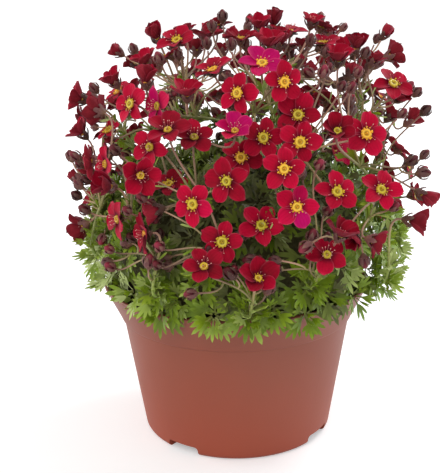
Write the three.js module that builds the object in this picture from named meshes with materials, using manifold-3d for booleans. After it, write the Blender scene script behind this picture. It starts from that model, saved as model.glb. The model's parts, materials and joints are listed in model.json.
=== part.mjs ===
// A mossy saxifrage in flower, growing in a round plastic pot.
// Millimetres, +Z up. The origin is on the pot's axis, at the level of its foot, and -Y is the front.
import * as THREE from "three";
import { mergeVertices } from "three/addons/utils/BufferGeometryUtils.js";
import Module from "manifold-3d";

const wasm = await Module();
wasm.setup();

// The pot: a thin moulded wall that leans out to a flared collar with a turned lip. Its floor is
// lifted between a ring at the foot and a pad in the middle, which it stands on.
const POT = {
  rimRadius: 65,
  height: 76,
  lipHeight: 1,
  lipInset: 0.8,
  collarFoot: 59.2,
  collarFootRadius: 57.4,
  collarStep: 1.2,
  stepDrop: 1,
  footRadius: 47.4,
  footChamfer: 1.4,
  wall: 1.4,
  floor: 3.2,
  footRing: 6.2,
  recess: 1.6,
  recessSlope: 1,
  centrePad: 14,
  sides: 32,
};
// Four drain holes cut the corner between wall and floor.
const DRAIN = { width: 17, height: 4.6, reach: 7, azimuths: [-35, 55, 145, 235] };

// The clearance between pieces that touch on the real plant.
const GAP = 0.3;
const SOCKET_SLACK = 0.1;

// Compost fills the pot to just under its rim, and the plant's root stock goes down into it.
const COMPOST = { edge: 69, middle: 71 };
const ROOT = { radius: 9, bottom: 59.8, sides: 12 };

// The leaf cushion, set a little to the right of the pot's axis: the hubs of its rosettes lie on a
// low superellipsoid, and the core of packed old leaves lies so far inside it.
const CUSHION = {
  x: 4,
  z: 86,
  radius: 69,
  rise: 49,
  power: 2.3,
  coreInset: 10,
  neckRadius: 50,
  neckBottom: 71.3,
  skirtRadius: 57,
  skirtHeight: 78,
  lift: 0.15,
  sides: 16,
  steps: 5,
};
// Rosettes of lobed leaves stand on short shoots all over the core, from its rim to its top.
const ROSETTE = {
  count: 39,
  lowest: -5,
  crowding: 1.3,
  leaves: 5,
  leafLength: 17,
  blade: 0.8,
  shootFoot: -13,
  hubRadius: 3.1,
  hubLow: 0.6,
  hubTop: 1.9,
  leafRoot: 0.4,
  unevenTurn: 0.12,
  unevenLength: 0.2,
  checkRadius: 1.1,
};
// A leaf's outline, seen from the heart of its rosette: angle off its rib, and share of the way out
// from the hub to its tip.
const LEAF_OUTLINE = [
  { angle: -26, share: 0.76 },
  { angle: -12, share: 0.5 },
  { angle: 0, share: 1 },
  { angle: 12, share: 0.5 },
  { angle: 26, share: 0.76 },
  { angle: 36, share: 0.06 },
];
// The places on a leaf that are kept clear of flowers and stalks, by the same two measures.
const LEAF_CHECKS = [
  { angle: 0, share: 1 },
  { angle: -24, share: 0.72 },
  { angle: 24, share: 0.72 },
  { angle: 0, share: 0.6 },
  { angle: -16, share: 0.42 },
  { angle: 16, share: 0.42 },
  { angle: 0, share: 0.25 },
];
// A leaf is raised to the first of these angles, at the first of these lengths, that is clear.
const LEAF_RAISES = [28, 16, 40, 52, 4, 66, -8];
const LEAF_LENGTHS = [1, 0.84, 0.68, 0.5, 0.32, 0.15];

// The dome of flowers that stands over the cushion on thin stalks: an ellipse in plan, and squarer
// than one from the side.
const DOME = { x: 8, y: 0, z: 98, halfX: 85, halfY: 82, halfZ: 102, power: 2.55 };

// Stalks are three-sided. `start` is where one leaves the straight, over its hub, and `sink` is how
// far its foot lies below that. `rising` and `arriving` say how long it keeps its way at each end.
const STALK = {
  foot: 0.95,
  top: 0.7,
  branch: 0.62,
  node: 1.35,
  start: 2.2,
  sink: 8,
  rising: 0.42,
  arriving: 0.34,
  steps: 4,
  flowerSteps: 2,
  budSteps: 1,
  sides: 3,
  checkRadius: 0.95,
  checkSpacing: 2,
  unchecked: 2,
};
// A flower: five blunt petals round a raised eye. Wide open they lie flat, and shut they stand up.
const BLOOM = {
  radius: 9,
  petals: 5,
  petalHalfAngle: 21,
  notch: 0.42,
  blade: 0.7,
  calyx: 2.4,
  eye: 1.4,
  shutRaise: 80,
  unevenRadius: 0.06,
  heartCheckRadius: 2.6,
};
// The places on a petal that are kept clear: share of its reach, turn off its middle, and radius.
const PETAL_CHECKS = [
  { share: 0.45, turn: 0, radius: 2 },
  { share: 0.78, turn: -14, radius: 2 },
  { share: 0.78, turn: 14, radius: 2 },
];
const BUD = { length: 5.6, radius: 2, belly: 0.4, sides: 4, lift: 0.6, checkRadius: 2.7 };

// The eye point of the photograph, in the pot's own frame, and its picture: focal length and middle
// in pixels, dip of the line of sight and roll of the picture in radians.
const EYE = new THREE.Vector3(-7.5, -382, 196);
const PICTURE = { focal: 800, middleX: 220, middleY: 236.5, dip: 0.256, roll: -0.0175 };
const SIGHT = { from: 260, to: 500, step: 0.5 };

// The flowers that the photograph shows: place in the picture in pixels, the way each faces in
// degrees round from the front (right positive) and up, and how far it is open, from 0 to 1. Where
// one stands behind the dome's near face, `back` says how far.
const FLOWERS_SEEN = [
  { px: 284, py: 82, turn: 15, tilt: 8, open: 0.95 },
  { px: 238, py: 93, turn: -35, tilt: 8, open: 0.92 },
  { px: 300, py: 142, turn: 5, tilt: 12, open: 0.96 },
  { px: 222, py: 242, turn: 0, tilt: 14, open: 0.95 },
  { px: 193, py: 204, turn: -25, tilt: 5, open: 0.95 },
  { px: 227, py: 181, turn: -25, tilt: 5, open: 0.92 },
  { px: 366, py: 134, turn: 10, tilt: 25, open: 0.95 },
  { px: 297, py: 207, turn: 0, tilt: 12, open: 0.95 },
  { px: 263, py: 138, turn: 10, tilt: 15, open: 0.9 },
  { px: 298, py: 115, turn: 0, tilt: 20, open: 0.9 },
  { px: 150, py: 147, turn: -25, tilt: 10, open: 0.92 },
  { px: 131, py: 104, turn: -45, tilt: 15, open: 0.9 },
  { px: 158, py: 106, turn: -60, tilt: 5, open: 0.9 },
  { px: 284, py: 169, turn: 5, tilt: 15, open: 0.95 },
  { px: 241, py: 158, turn: -5, tilt: 30, open: 0.95 },
  { px: 327, py: 255, turn: 5, tilt: 40, open: 0.95 },
  { px: 261, py: 226, turn: 5, tilt: 40, open: 0.85 },
  { px: 381, py: 190, turn: 15, tilt: 35, open: 0.95 },
  { px: 337, py: 192, turn: 10, tilt: 30, open: 0.9 },
  { px: 194, py: 138, turn: 10, tilt: 50, open: 0.8 },
  { px: 258, py: 279, turn: 10, tilt: 40, open: 0.6 },
  { px: 118, py: 219, turn: -60, tilt: 0, open: 0.9 },
  { px: 106, py: 164, turn: -62, tilt: 5, open: 0.9 },
  { px: 393, py: 84, turn: 20, tilt: 45, open: 0.9 },
  { px: 168, py: 131, turn: -10, tilt: 60, open: 0.8 },
  { px: 169, py: 185, turn: -20, tilt: 60, open: 0.8 },
  { px: 213, py: 71, turn: -50, tilt: 65, open: 0.8 },
  { px: 177, py: 41, turn: -20, tilt: 50, open: 0.8, back: 10 },
  { px: 262, py: 64, turn: 0, tilt: 50, open: 0.85 },
  { px: 235, py: 132, turn: 0, tilt: 55, open: 0.7 },
  { px: 187, py: 97, turn: 0, tilt: 75, open: 0.5 },
  { px: 140, py: 175, turn: 20, tilt: 0, open: 0.75 },
  { px: 146, py: 234, turn: -70, tilt: -5, open: 0.8 },
  { px: 204, py: 267, turn: 0, tilt: 45, open: 0.8 },
  { px: 337, py: 132, turn: 0, tilt: 40, open: 0.6 },
  { px: 333, py: 149, turn: 60, tilt: 20, open: 0.7 },
  { px: 339, py: 237, turn: 60, tilt: 60, open: 0.55 },
  { px: 371, py: 240, turn: 80, tilt: -20, open: 0.6 },
  { px: 93, py: 160, turn: -95, tilt: 0, open: 0.8 },
  { px: 85, py: 225, turn: -110, tilt: -30, open: 0.6 },
  { px: 112, py: 187, turn: -50, tilt: 20, open: 0.4 },
  { px: 84, py: 100, turn: -90, tilt: 20, open: 0.5 },
  { px: 101, py: 112, turn: -130, tilt: 10, open: 0.55 },
  { px: 83, py: 119, turn: -95, tilt: 0, open: 0.8 },
  { px: 84, py: 135, turn: -80, tilt: 50, open: 0.5 },
  { px: 116, py: 84, turn: -70, tilt: 60, open: 0.5, back: 15 },
  { px: 147, py: 64, turn: -60, tilt: 60, open: 0.5, back: 30 },
  { px: 146, py: 84, turn: 0, tilt: 80, open: 0.35, back: 15 },
  { px: 158, py: 40, turn: -45, tilt: 60, open: 0.25, back: 25 },
  { px: 205, py: 38, turn: 0, tilt: 85, open: 0.75, back: 45 },
  { px: 240, py: 40, turn: 0, tilt: 80, open: 0.75, back: 20 },
  { px: 274, py: 27, turn: 0, tilt: 80, open: 0.25, back: 35 },
  { px: 260, py: 30, turn: 0, tilt: 70, open: 0.45, back: 10 },
  { px: 269, py: 48, turn: 0, tilt: 75, open: 0.45 },
  { px: 290, py: 32, turn: 0, tilt: 80, open: 0.85, back: 50 },
  { px: 322, py: 44, turn: 0, tilt: 80, open: 0.8, back: 30 },
  { px: 356, py: 50, turn: 10, tilt: 70, open: 0.4, back: 20 },
  { px: 345, py: 53, turn: -20, tilt: 60, open: 0.5, back: 50 },
  { px: 338, py: 62, turn: 0, tilt: 70, open: 0.5, back: 10 },
  { px: 388, py: 57, turn: 110, tilt: 20, open: 0.6, back: 10 },
  { px: 420, py: 193, turn: 90, tilt: -30, open: 0.35 },
  { px: 408, py: 220, turn: 80, tilt: -10, open: 0.4 },
];
// The closed buds that the photograph shows, by place alone: they lean as the dome does.
const BUDS_SEEN = [
  { px: 223, py: 24, back: 30 },
  { px: 213, py: 34 },
  { px: 319, py: 24, back: 40 },
  { px: 99, py: 94 },
  { px: 162, py: 66, back: 10 },
  { px: 180, py: 62, back: 20 },
  { px: 208, py: 51, back: 25 },
  { px: 232, py: 52, back: 15 },
  { px: 246, py: 52, back: 30 },
  { px: 309, py: 48, back: 20 },
  { px: 374, py: 45, back: 25 },
  { px: 324, py: 59, back: 30 },
  { px: 362, py: 60, back: 10 },
  { px: 326, py: 76, back: 10 },
  { px: 355, py: 79 },
  { px: 339, py: 93 },
  { px: 348, py: 94 },
  { px: 412, py: 98 },
  { px: 397, py: 119 },
  { px: 420, py: 116 },
  { px: 321, py: 79 },
  { px: 82, py: 161 },
  { px: 86, py: 168 },
  { px: 92, py: 184 },
  { px: 83, py: 199 },
  { px: 91, py: 213 },
  { px: 120, py: 155 },
  { px: 132, py: 214 },
  { px: 136, py: 240 },
  { px: 115, py: 252 },
  { px: 116, py: 269 },
  { px: 146, py: 201 },
  { px: 155, py: 207 },
  { px: 161, py: 267 },
  { px: 163, py: 249 },
  { px: 275, py: 187 },
  { px: 317, py: 169 },
  { px: 325, py: 214 },
  { px: 235, py: 272 },
  { px: 276, py: 270 },
  { px: 406, py: 165 },
  { px: 416, py: 175 },
  { px: 388, py: 210 },
];
// The far side isn't in the photograph. It gets flowers and buds of the same kinds, which face out
// and lean aside and up by a random share, and are open by another. They stand a little inside the
// dome, and their petals have one corner each.
const FAR_SIDE = {
  flowers: 42,
  buds: 9,
  from: 6,
  inset: 7,
  lowest: -6,
  highest: 86,
  aside: 0.7,
  upward: 0.9,
  mostOpen: 0.95,
  closing: 0.5,
  budHeight: -2,
};

// How a stalk is fitted in among its neighbours: the steps back along the line of sight, the most
// flowers and buds that a spray carries, how far round a site may lie and how much of that each stem
// there already counts for, in radians, where branches fork, and the clearances kept.
const FIT = {
  steps: [0, 5, 10, -5, 15, 20, -10, 25, 30, 35],
  flowers: 4,
  buds: 3,
  widest: 0.7,
  fullness: 0.1,
  forks: [0.5, 0.25, 0.75],
  clearance: 0.5,
  stalkOver: 1.5,
  headOver: 4,
};

const COLOURS = {
  pot: 0x9c5440,
  compost: 0x2e2219,
  leaves: 0x5d8a2c,
  petals: 0xbe0a30,
};

const radians = THREE.MathUtils.degToRad;
const UP = new THREE.Vector3(0, 0, 1);
const GOLDEN_ANGLE = 137.508;
// A guide for a frame that has no other, at a slant to every axis used.
const SPARE_GUIDE = new THREE.Vector3(0.31, 0.12, 1);
// Points nearer than this are one, and ways this near to parallel have no normal in common.
const TINY = 1e-4;

// One seeded stream of numbers between 0 and 1 serves every random draw.
let drawState = 4711;
function draw() {
  drawState = (drawState * 16807) % 2147483647;
  return drawState / 2147483647;
}

// A closed geometry as a solid, and a solid as a geometry.
function solid(geometry) {
  const bare = geometry.clone();
  bare.deleteAttribute("normal");
  bare.deleteAttribute("uv");
  const merged = mergeVertices(bare, TINY);
  return new wasm.Manifold(
    new wasm.Mesh({
      numProp: 3,
      vertProperties: new Float32Array(merged.attributes.position.array),
      triVerts: new Uint32Array(merged.index.array),
    }),
  );
}

function geometryOf(body) {
  const mesh = body.getMesh();
  const geometry = new THREE.BufferGeometry();
  geometry.setAttribute("position", new THREE.BufferAttribute(mesh.vertProperties, 3));
  geometry.setIndex(new THREE.BufferAttribute(mesh.triVerts, 1));
  geometry.computeVertexNormals();
  return geometry;
}

// Joins overlapping solids in one, and drops any scrap that ends up loose.
function fuse(solids) {
  const joined = wasm.Manifold.union(solids);
  return joined.decompose().sort((a, b) => b.volume() - a.volume())[0];
}

// A lathe turned round +Z from [radius, height] pairs, which start and end on the axis.
function turned(profile, sides) {
  const points = profile.map(([radius, height]) => new THREE.Vector2(radius, height));
  return new THREE.LatheGeometry(points, sides).rotateX(Math.PI / 2);
}

// Skins a run of rings, each a list of points that goes round anticlockwise seen from the far end.
// A ring of one point is a tip. Neighbouring rings may differ in their number of points.
function skin(rings) {
  const points = rings.flat();
  const faces = [];
  const starts = [];
  rings.reduce((count, ring) => {
    starts.push(count);
    return count + ring.length;
  }, 0);
  for (let k = 0; k + 1 < rings.length; k++) {
    const near = rings[k].length;
    const far = rings[k + 1].length;
    const nearSteps = near > 1 ? near : 0;
    const farSteps = far > 1 ? far : 0;
    let i = 0;
    let j = 0;
    while (i < nearSteps || j < farSteps) {
      const a = starts[k] + (i % near);
      const b = starts[k + 1] + (j % far);
      const ahead = (i + 1) / near - (j + 1) / far;
      const nearFirst = near <= far ? ahead <= 0 : ahead < 0;
      if (j >= farSteps || (i < nearSteps && nearFirst)) {
        i++;
        faces.push(a, starts[k] + (i % near), b);
      } else {
        j++;
        faces.push(a, starts[k + 1] + (j % far), b);
      }
    }
  }
  for (let i = 1; i + 1 < rings[0].length; i++) {
    faces.push(0, i + 1, i);
  }
  const last = starts.at(-1);
  for (let i = 1; i + 1 < rings.at(-1).length; i++) {
    faces.push(last, last + i, last + i + 1);
  }
  const geometry = new THREE.BufferGeometry().setFromPoints(points);
  geometry.setIndex(faces);
  return solid(geometry);
}

// The unit direction that lies so many degrees round from the front and so many up.
function facing(turn, tilt) {
  const level = Math.cos(radians(tilt));
  return new THREE.Vector3(
    Math.sin(radians(turn)) * level,
    -Math.cos(radians(turn)) * level,
    Math.sin(radians(tilt)),
  );
}

// A frame at a place: `out` is its axis, and `across` and `along` lie square to it.
function frameAt(place, out, guide) {
  const across = guide.clone().addScaledVector(out, -guide.dot(out)).normalize();
  return { place, out, across, along: out.clone().cross(across) };
}

// The point of a frame that lies at a radius, an angle round its axis and a height along it.
function framePoint(frame, radius, angle, height) {
  return frame.place
    .clone()
    .addScaledVector(frame.across, radius * Math.cos(angle))
    .addScaledVector(frame.along, radius * Math.sin(angle))
    .addScaledVector(frame.out, height);
}

function ring(frame, radius, count, start, height) {
  return Array.from({ length: count }, (_, k) =>
    framePoint(frame, radius, start + (k / count) * 2 * Math.PI, height),
  );
}

// The direction of the line of sight through a pixel.
function sightOf({ px, py }) {
  const x = px - PICTURE.middleX;
  const y = py - PICTURE.middleY;
  const right = x * Math.cos(PICTURE.roll) + y * Math.sin(PICTURE.roll);
  const down = y * Math.cos(PICTURE.roll) - x * Math.sin(PICTURE.roll);
  return new THREE.Vector3(
    right,
    PICTURE.focal * Math.cos(PICTURE.dip) - down * Math.sin(PICTURE.dip),
    -PICTURE.focal * Math.sin(PICTURE.dip) - down * Math.cos(PICTURE.dip),
  ).normalize();
}

// How far out a point lies by the dome's own measure: 1 on its face, and less inside.
function domeLevel(point) {
  const plan = Math.hypot((point.x - DOME.x) / DOME.halfX, (point.y - DOME.y) / DOME.halfY);
  return plan ** DOME.power + Math.abs((point.z - DOME.z) / DOME.halfZ) ** DOME.power;
}

// Where a line of sight first meets the dome, or passes nearest to it.
function meetDome(sight) {
  let best = null;
  let bestLevel = Infinity;
  for (let distance = SIGHT.from; distance < SIGHT.to && bestLevel > 1; distance += SIGHT.step) {
    const point = EYE.clone().addScaledVector(sight, distance);
    const level = domeLevel(point);
    if (level < bestLevel) {
      best = point;
      bestLevel = level;
    }
  }
  return best;
}

// The way the dome faces at a point: the direction in which its level rises fastest.
function domeFacing(point) {
  const x = (point.x - DOME.x) / DOME.halfX;
  const y = (point.y - DOME.y) / DOME.halfY;
  const z = (point.z - DOME.z) / DOME.halfZ;
  const planSlope = Math.hypot(x, y) ** (DOME.power - 2);
  return new THREE.Vector3(
    (x * planSlope) / DOME.halfX,
    (y * planSlope) / DOME.halfY,
    (Math.sign(z) * Math.abs(z) ** (DOME.power - 1)) / DOME.halfZ,
  ).normalize();
}

// Points spread over a cap of directions by the golden angle: evenly where `crowding` is 1, and
// closer together towards the lowest where it is more.
function spread(count, lowest, highest, crowding) {
  const low = Math.sin(radians(lowest));
  const high = Math.sin(radians(highest));
  return Array.from({ length: count }, (_, k) => {
    const share = ((k + 0.5) / count) ** crowding;
    const tilt = THREE.MathUtils.radToDeg(Math.asin(low + share * (high - low)));
    return facing((k * GOLDEN_ANGLE) % 360, tilt);
  });
}

// The cushion, as a distance from its centre in each direction, and as a height over that.
const cushionCentre = new THREE.Vector3(CUSHION.x, 0, CUSHION.z);
function cushionReach(direction) {
  const level = Math.hypot(direction.x, direction.y) / CUSHION.radius;
  const upright = Math.abs(direction.z) / CUSHION.rise;
  return (level ** CUSHION.power + upright ** CUSHION.power) ** (-1 / CUSHION.power);
}

function heightOverCushion(place) {
  const arm = place.clone().sub(cushionCentre);
  return arm.length() - cushionReach(arm.clone().normalize());
}

// Each rosette's hub is a site: a place on the cushion, and the way the leaves open there.
const sites = spread(ROSETTE.count, ROSETTE.lowest, 90, ROSETTE.crowding).map((direction) => {
  const place = cushionCentre.clone().addScaledVector(direction, cushionReach(direction));
  const out = direction.clone().addScaledVector(UP, CUSHION.lift).normalize();
  return { place, direction, out, stems: [], flowers: 0, buds: 0 };
});

// Balls that fill the flowers and stalks placed so far, so that the next ones keep clear of them.
const taken = [];

function flowerFrame(head) {
  const guide = head.from.clone().cross(head.out);
  if (guide.lengthSq() < TINY) {
    guide.set(1, 0, 0);
  }
  return frameAt(head.place, head.out, guide);
}

// A point on a flower's petals, so far out from its heart and lifted so far off their underside.
function petalPoint(frame, head, reach, angle, lift) {
  const raise = radians((1 - head.open) * BLOOM.shutRaise);
  return framePoint(
    frame,
    reach * Math.cos(raise) - lift * Math.sin(raise),
    angle,
    reach * Math.sin(raise) + lift * Math.cos(raise),
  );
}

function headBalls(head) {
  if (head.kind === "bud") {
    const place = head.place.clone().addScaledVector(head.out, BUD.length / 2);
    return [{ place, radius: BUD.checkRadius }];
  }
  const frame = flowerFrame(head);
  const balls = [{ place: head.place, radius: BLOOM.heartCheckRadius }];
  for (let k = 0; k < BLOOM.petals; k++) {
    const angle = head.spin + (k / BLOOM.petals) * 2 * Math.PI;
    for (const { share, turn, radius } of PETAL_CHECKS) {
      const place = petalPoint(frame, head, share * head.radius, angle + radians(turn), 0);
      balls.push({ place, radius });
    }
  }
  return balls;
}

// Balls along the straight lengths that a stalk is made of, past the first few at its foot.
function stalkBalls(curve, steps) {
  const corners = curve.getPoints(steps);
  const places = corners.slice(1).flatMap((end, k) => {
    const count = Math.ceil(end.distanceTo(corners[k]) / STALK.checkSpacing);
    return Array.from({ length: count }, (_, j) => corners[k].clone().lerp(end, j / count));
  });
  return places.slice(STALK.unchecked).map((place) => ({ place, radius: STALK.checkRadius, stalk: true }));
}

function isClear(balls, site) {
  return balls.every((ball) =>
    taken.every((other) => {
      if (ball.stalk && other.stalk && site === other.site) {
        return true;
      }
      return ball.place.distanceTo(other.place) > ball.radius + other.radius + FIT.clearance;
    }),
  );
}

// How many straight lengths a stalk has.
function stepsOf(head, isLead) {
  if (isLead) {
    return STALK.steps;
  }
  return head.kind === "bud" ? STALK.budSteps : STALK.flowerSteps;
}

function bend(start, startWay, end, endWay) {
  const span = start.distanceTo(end);
  return new THREE.CubicBezierCurve3(
    start,
    start.clone().addScaledVector(startWay, span * STALK.rising),
    end.clone().addScaledVector(endWay, -span * STALK.arriving),
    end,
  );
}

// The stalk that carries a head from a site: its own from the hub, or a branch off the site's lead.
function stalkTo(head, site, fork) {
  const neck = head.kind === "bud" ? 0 : BLOOM.calyx;
  const end = head.place.clone().addScaledVector(head.out, -neck);
  if (site.stems.length === 0) {
    const start = site.place.clone().addScaledVector(site.out, STALK.start);
    return bend(start, site.out, end, head.out);
  }
  const lead = site.stems[0].curve;
  const start = lead.getPoint(fork);
  const straight = end.clone().sub(start).normalize();
  return bend(start, lead.getTangent(fork).add(straight).normalize(), end, head.out);
}

// Seats a head on the spray that can reach it clear of all the others, trying places along its
// line of sight in turn. A head that fits nowhere is left out.
function seat(head, back) {
  for (const step of FIT.steps) {
    const place = head.place.clone().addScaledVector(back, step);
    const way = place.clone().sub(cushionCentre).normalize();
    const isBud = head.kind === "bud";
    const open = sites
      .filter((site) => (isBud ? site.flowers > 0 && site.buds < FIT.buds : site.flowers < FIT.flowers))
      .filter((site) => site.direction.angleTo(way) < FIT.widest)
      .map((site) => ({ site, cost: site.direction.angleTo(way) + FIT.fullness * site.stems.length }))
      .sort((a, b) => a.cost - b.cost);
    for (const { site } of open) {
      const forks = site.stems.length === 0 ? [0] : FIT.forks;
      for (const fork of forks) {
        const moved = { ...head, place, from: site.out };
        const curve = stalkTo(moved, site, fork);
        const steps = stepsOf(moved, site.stems.length === 0);
        const balls = [...headBalls(moved), ...stalkBalls(curve, steps)];
        const isHigh = balls.every(
          (ball) => heightOverCushion(ball.place) > (ball.stalk ? FIT.stalkOver : FIT.headOver),
        );
        if (isHigh && isClear(balls, site)) {
          balls.forEach((ball) => taken.push({ ...ball, site }));
          site.stems.push({ head: moved, curve, fork });
          site[isBud ? "buds" : "flowers"] += 1;
          return;
        }
      }
    }
  }
}

function flowerHead(place, out, open) {
  return {
    kind: "flower",
    place,
    out,
    open,
    spin: draw() * 2 * Math.PI,
    radius: BLOOM.radius * (1 + BLOOM.unevenRadius * (2 * draw() - 1)),
  };
}

for (const seen of FLOWERS_SEEN) {
  const sight = sightOf(seen);
  const place = meetDome(sight).addScaledVector(sight, seen.back ?? 0);
  seat(flowerHead(place, facing(seen.turn, seen.tilt), seen.open), sight);
}

// Directions over the far side of the dome, with the point that each meets.
function farPlaces(count) {
  const centre = new THREE.Vector3(DOME.x, DOME.y, DOME.z);
  return spread(count * 2, FAR_SIDE.lowest, FAR_SIDE.highest, 1)
    .map((direction) => {
      const reach = domeLevel(centre.clone().add(direction)) ** (-1 / DOME.power);
      return centre.clone().addScaledVector(direction, reach);
    })
    .filter((place) => place.y > FAR_SIDE.from);
}

for (const place of farPlaces(FAR_SIDE.flowers)) {
  const out = domeFacing(place);
  out.x += FAR_SIDE.aside * (draw() - 0.5);
  out.z += FAR_SIDE.upward * draw();
  const open = FAR_SIDE.mostOpen - FAR_SIDE.closing * draw() ** 2;
  const inward = domeFacing(place).negate();
  const head = flowerHead(place.addScaledVector(inward, FAR_SIDE.inset), out.normalize(), open);
  seat({ ...head, isPlain: true }, inward);
}

function budHead(place) {
  const out = domeFacing(place).addScaledVector(UP, BUD.lift).normalize();
  return { kind: "bud", place, out };
}

for (const seen of BUDS_SEEN) {
  const sight = sightOf(seen);
  seat(budHead(meetDome(sight).addScaledVector(sight, seen.back ?? 0)), sight);
}

for (const place of farPlaces(FAR_SIDE.buds)) {
  const outward = domeFacing(place);
  seat(budHead(place.addScaledVector(outward, FAR_SIDE.budHeight)), outward.negate());
}

// The rings of a stalk up to its neck, each turned to face along it and as wide as its radius.
function stalkRings(curve, guide, spin, radii) {
  return radii.map((radius, k) => {
    const share = k / (radii.length - 1);
    const frame = frameAt(curve.getPoint(share), curve.getTangent(share), guide);
    return ring(frame, radius, STALK.sides, spin, 0);
  });
}

// A flower's rings: the star of petals on its under and upper side, and the raised eye.
function flowerRings(head) {
  const frame = flowerFrame(head);
  const half = radians(BLOOM.petalHalfAngle);
  const corners = head.isPlain ? [0] : [-half, half];
  const notch = head.radius * BLOOM.notch;
  const star = (lift) =>
    Array.from({ length: BLOOM.petals }, (_, k) => {
      const middle = head.spin + (k / BLOOM.petals) * 2 * Math.PI;
      return [
        ...corners.map((aside) => petalPoint(frame, head, head.radius, middle + aside, lift)),
        petalPoint(frame, head, notch, middle + Math.PI / BLOOM.petals, lift),
      ];
    }).flat();
  return [star(0), star(BLOOM.blade), [framePoint(frame, 0, 0, BLOOM.eye)]];
}

function budRings(head, frame) {
  const belly = ring(frame, BUD.radius, BUD.sides, 0, BUD.length * BUD.belly);
  return [belly, [framePoint(frame, 0, 0, BUD.length)]];
}

function spinOf(head) {
  return head.kind === "bud" ? 0 : head.spin - radians(BLOOM.petalHalfAngle);
}

function headRings(head) {
  return head.kind === "bud" ? budRings(head, flowerFrame(head)) : flowerRings(head);
}

// A spray's lead stalk, from its foot in the cushion to its flower, thicker where branches fork off.
function leadSolid([{ head, curve }, ...branches]) {
  const guide = flowerFrame(head).across;
  const radii = Array.from({ length: STALK.steps + 1 }, (_, k) => {
    const share = k / STALK.steps;
    const isFork = branches.some((branch) => branch.fork === share);
    return isFork ? STALK.node : THREE.MathUtils.lerp(STALK.foot, STALK.top, share);
  });
  const start = frameAt(curve.getPoint(0), curve.getTangent(0), guide);
  const foot = ring(start, STALK.foot, STALK.sides, spinOf(head), -STALK.sink);
  return skin([foot, ...stalkRings(curve, guide, spinOf(head), radii), ...headRings(head)]);
}

// A branch of a spray, from the middle of its fork to its flower or bud.
function branchSolid({ head, curve }) {
  const radii = new Array(stepsOf(head, false) + 1).fill(STALK.branch);
  return skin([...stalkRings(curve, flowerFrame(head).across, spinOf(head), radii), ...headRings(head)]);
}

// The frame and the turn that a site's socket and its rosette share with the foot of its spray.
function siteFrame(site) {
  const [lead] = site.stems;
  const guide = lead ? flowerFrame(lead.head).across : SPARE_GUIDE;
  const spin = lead ? spinOf(lead.head) : 0;
  return { frame: frameAt(site.place, site.out, guide), spin };
}

// The plain hole in the cushion that a spray's foot stands in.
function socket(site) {
  const { frame, spin } = siteFrame(site);
  const radius = STALK.foot + GAP / Math.cos(Math.PI / STALK.sides) + SOCKET_SLACK;
  return skin([
    ring(frame, radius, STALK.sides, spin, STALK.start - STALK.sink - GAP),
    ring(frame, radius, STALK.sides, spin, ROSETTE.hubTop * 2),
  ]);
}

// A point of a leaf that springs from the hub at an angle round it and is raised by another.
function leafPoint(frame, leaf, { angle, share }, height) {
  const reach = share * leaf.length;
  return framePoint(
    frame,
    ROSETTE.hubRadius + ROSETTE.leafRoot + reach * Math.cos(leaf.raise),
    leaf.angle + radians(angle),
    height + reach * Math.sin(leaf.raise),
  );
}

// A rosette: a star of lobed leaves round a hub, each leaf raised or shortened until it is clear.
function rosette(site) {
  const { frame, spin } = siteFrame(site);
  const start = spin - radians(LEAF_OUTLINE[0].angle);
  const leaves = Array.from({ length: ROSETTE.leaves }, (_, k) => {
    const turn = k + ROSETTE.unevenTurn * (draw() - 0.5);
    const angle = start + (turn / ROSETTE.leaves) * 2 * Math.PI;
    const evenness = 1 + ROSETTE.unevenLength * (draw() - 0.5);
    const full = (ROSETTE.leafLength - ROSETTE.hubRadius) * evenness;
    const tries = LEAF_LENGTHS.flatMap((share) =>
      LEAF_RAISES.map((raise) => ({ angle, length: full * share, raise: radians(raise) })),
    );
    const ballsOf = (leaf) =>
      LEAF_CHECKS.map((point) => ({
        place: leafPoint(frame, leaf, point, ROSETTE.hubTop),
        radius: ROSETTE.checkRadius,
      }));
    return tries.find((leaf) => isClear(ballsOf(leaf), site)) ?? tries.at(-1);
  });
  const star = (height) =>
    leaves.flatMap((leaf) => LEAF_OUTLINE.map((point) => leafPoint(frame, leaf, point, height)));
  return skin([
    ring(frame, ROSETTE.hubRadius, STALK.sides, spin, ROSETTE.shootFoot),
    ring(frame, ROSETTE.hubRadius, STALK.sides, spin, ROSETTE.hubLow),
    star(ROSETTE.hubTop - ROSETTE.blade),
    star(ROSETTE.hubTop),
    ring(frame, ROSETTE.hubRadius, STALK.sides, spin, ROSETTE.hubTop),
  ]);
}

// The corners of the wall's inner face, from the floor up to the lip, as [radius, height] pairs.
const innerWall = [
  [POT.footRadius - POT.wall, POT.floor],
  [POT.collarFootRadius - POT.collarStep - POT.wall, POT.collarFoot - POT.stepDrop],
  [POT.collarFootRadius - POT.wall, POT.collarFoot + POT.stepDrop],
  [POT.rimRadius - POT.lipInset - POT.wall, POT.height],
];

function pot() {
  const ringInner = POT.footRadius - POT.footRing;
  const wall = turned(
    [
      [0, 0],
      [POT.centrePad, 0],
      [POT.centrePad + POT.recessSlope, POT.recess],
      [ringInner - POT.recessSlope, POT.recess],
      [ringInner, 0],
      [POT.footRadius - POT.footChamfer, 0],
      [POT.footRadius, POT.footChamfer],
      [POT.collarFootRadius - POT.collarStep, POT.collarFoot - POT.stepDrop],
      [POT.collarFootRadius, POT.collarFoot],
      [POT.rimRadius - POT.lipInset, POT.height - POT.lipHeight - POT.lipInset],
      [POT.rimRadius, POT.height - POT.lipHeight],
      [POT.rimRadius, POT.height],
      ...innerWall.toReversed(),
      [0, POT.floor],
    ],
    POT.sides,
  );
  const drains = DRAIN.azimuths.map((azimuth) => {
    const box = new THREE.BoxGeometry(DRAIN.reach * 2, DRAIN.width, DRAIN.height * 2);
    box.translate(POT.footRadius, 0, 0);
    return solid(box.rotateZ(radians(azimuth - 90)));
  });
  return drains.reduce((body, drain) => body.subtract(drain), solid(wall));
}

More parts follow.
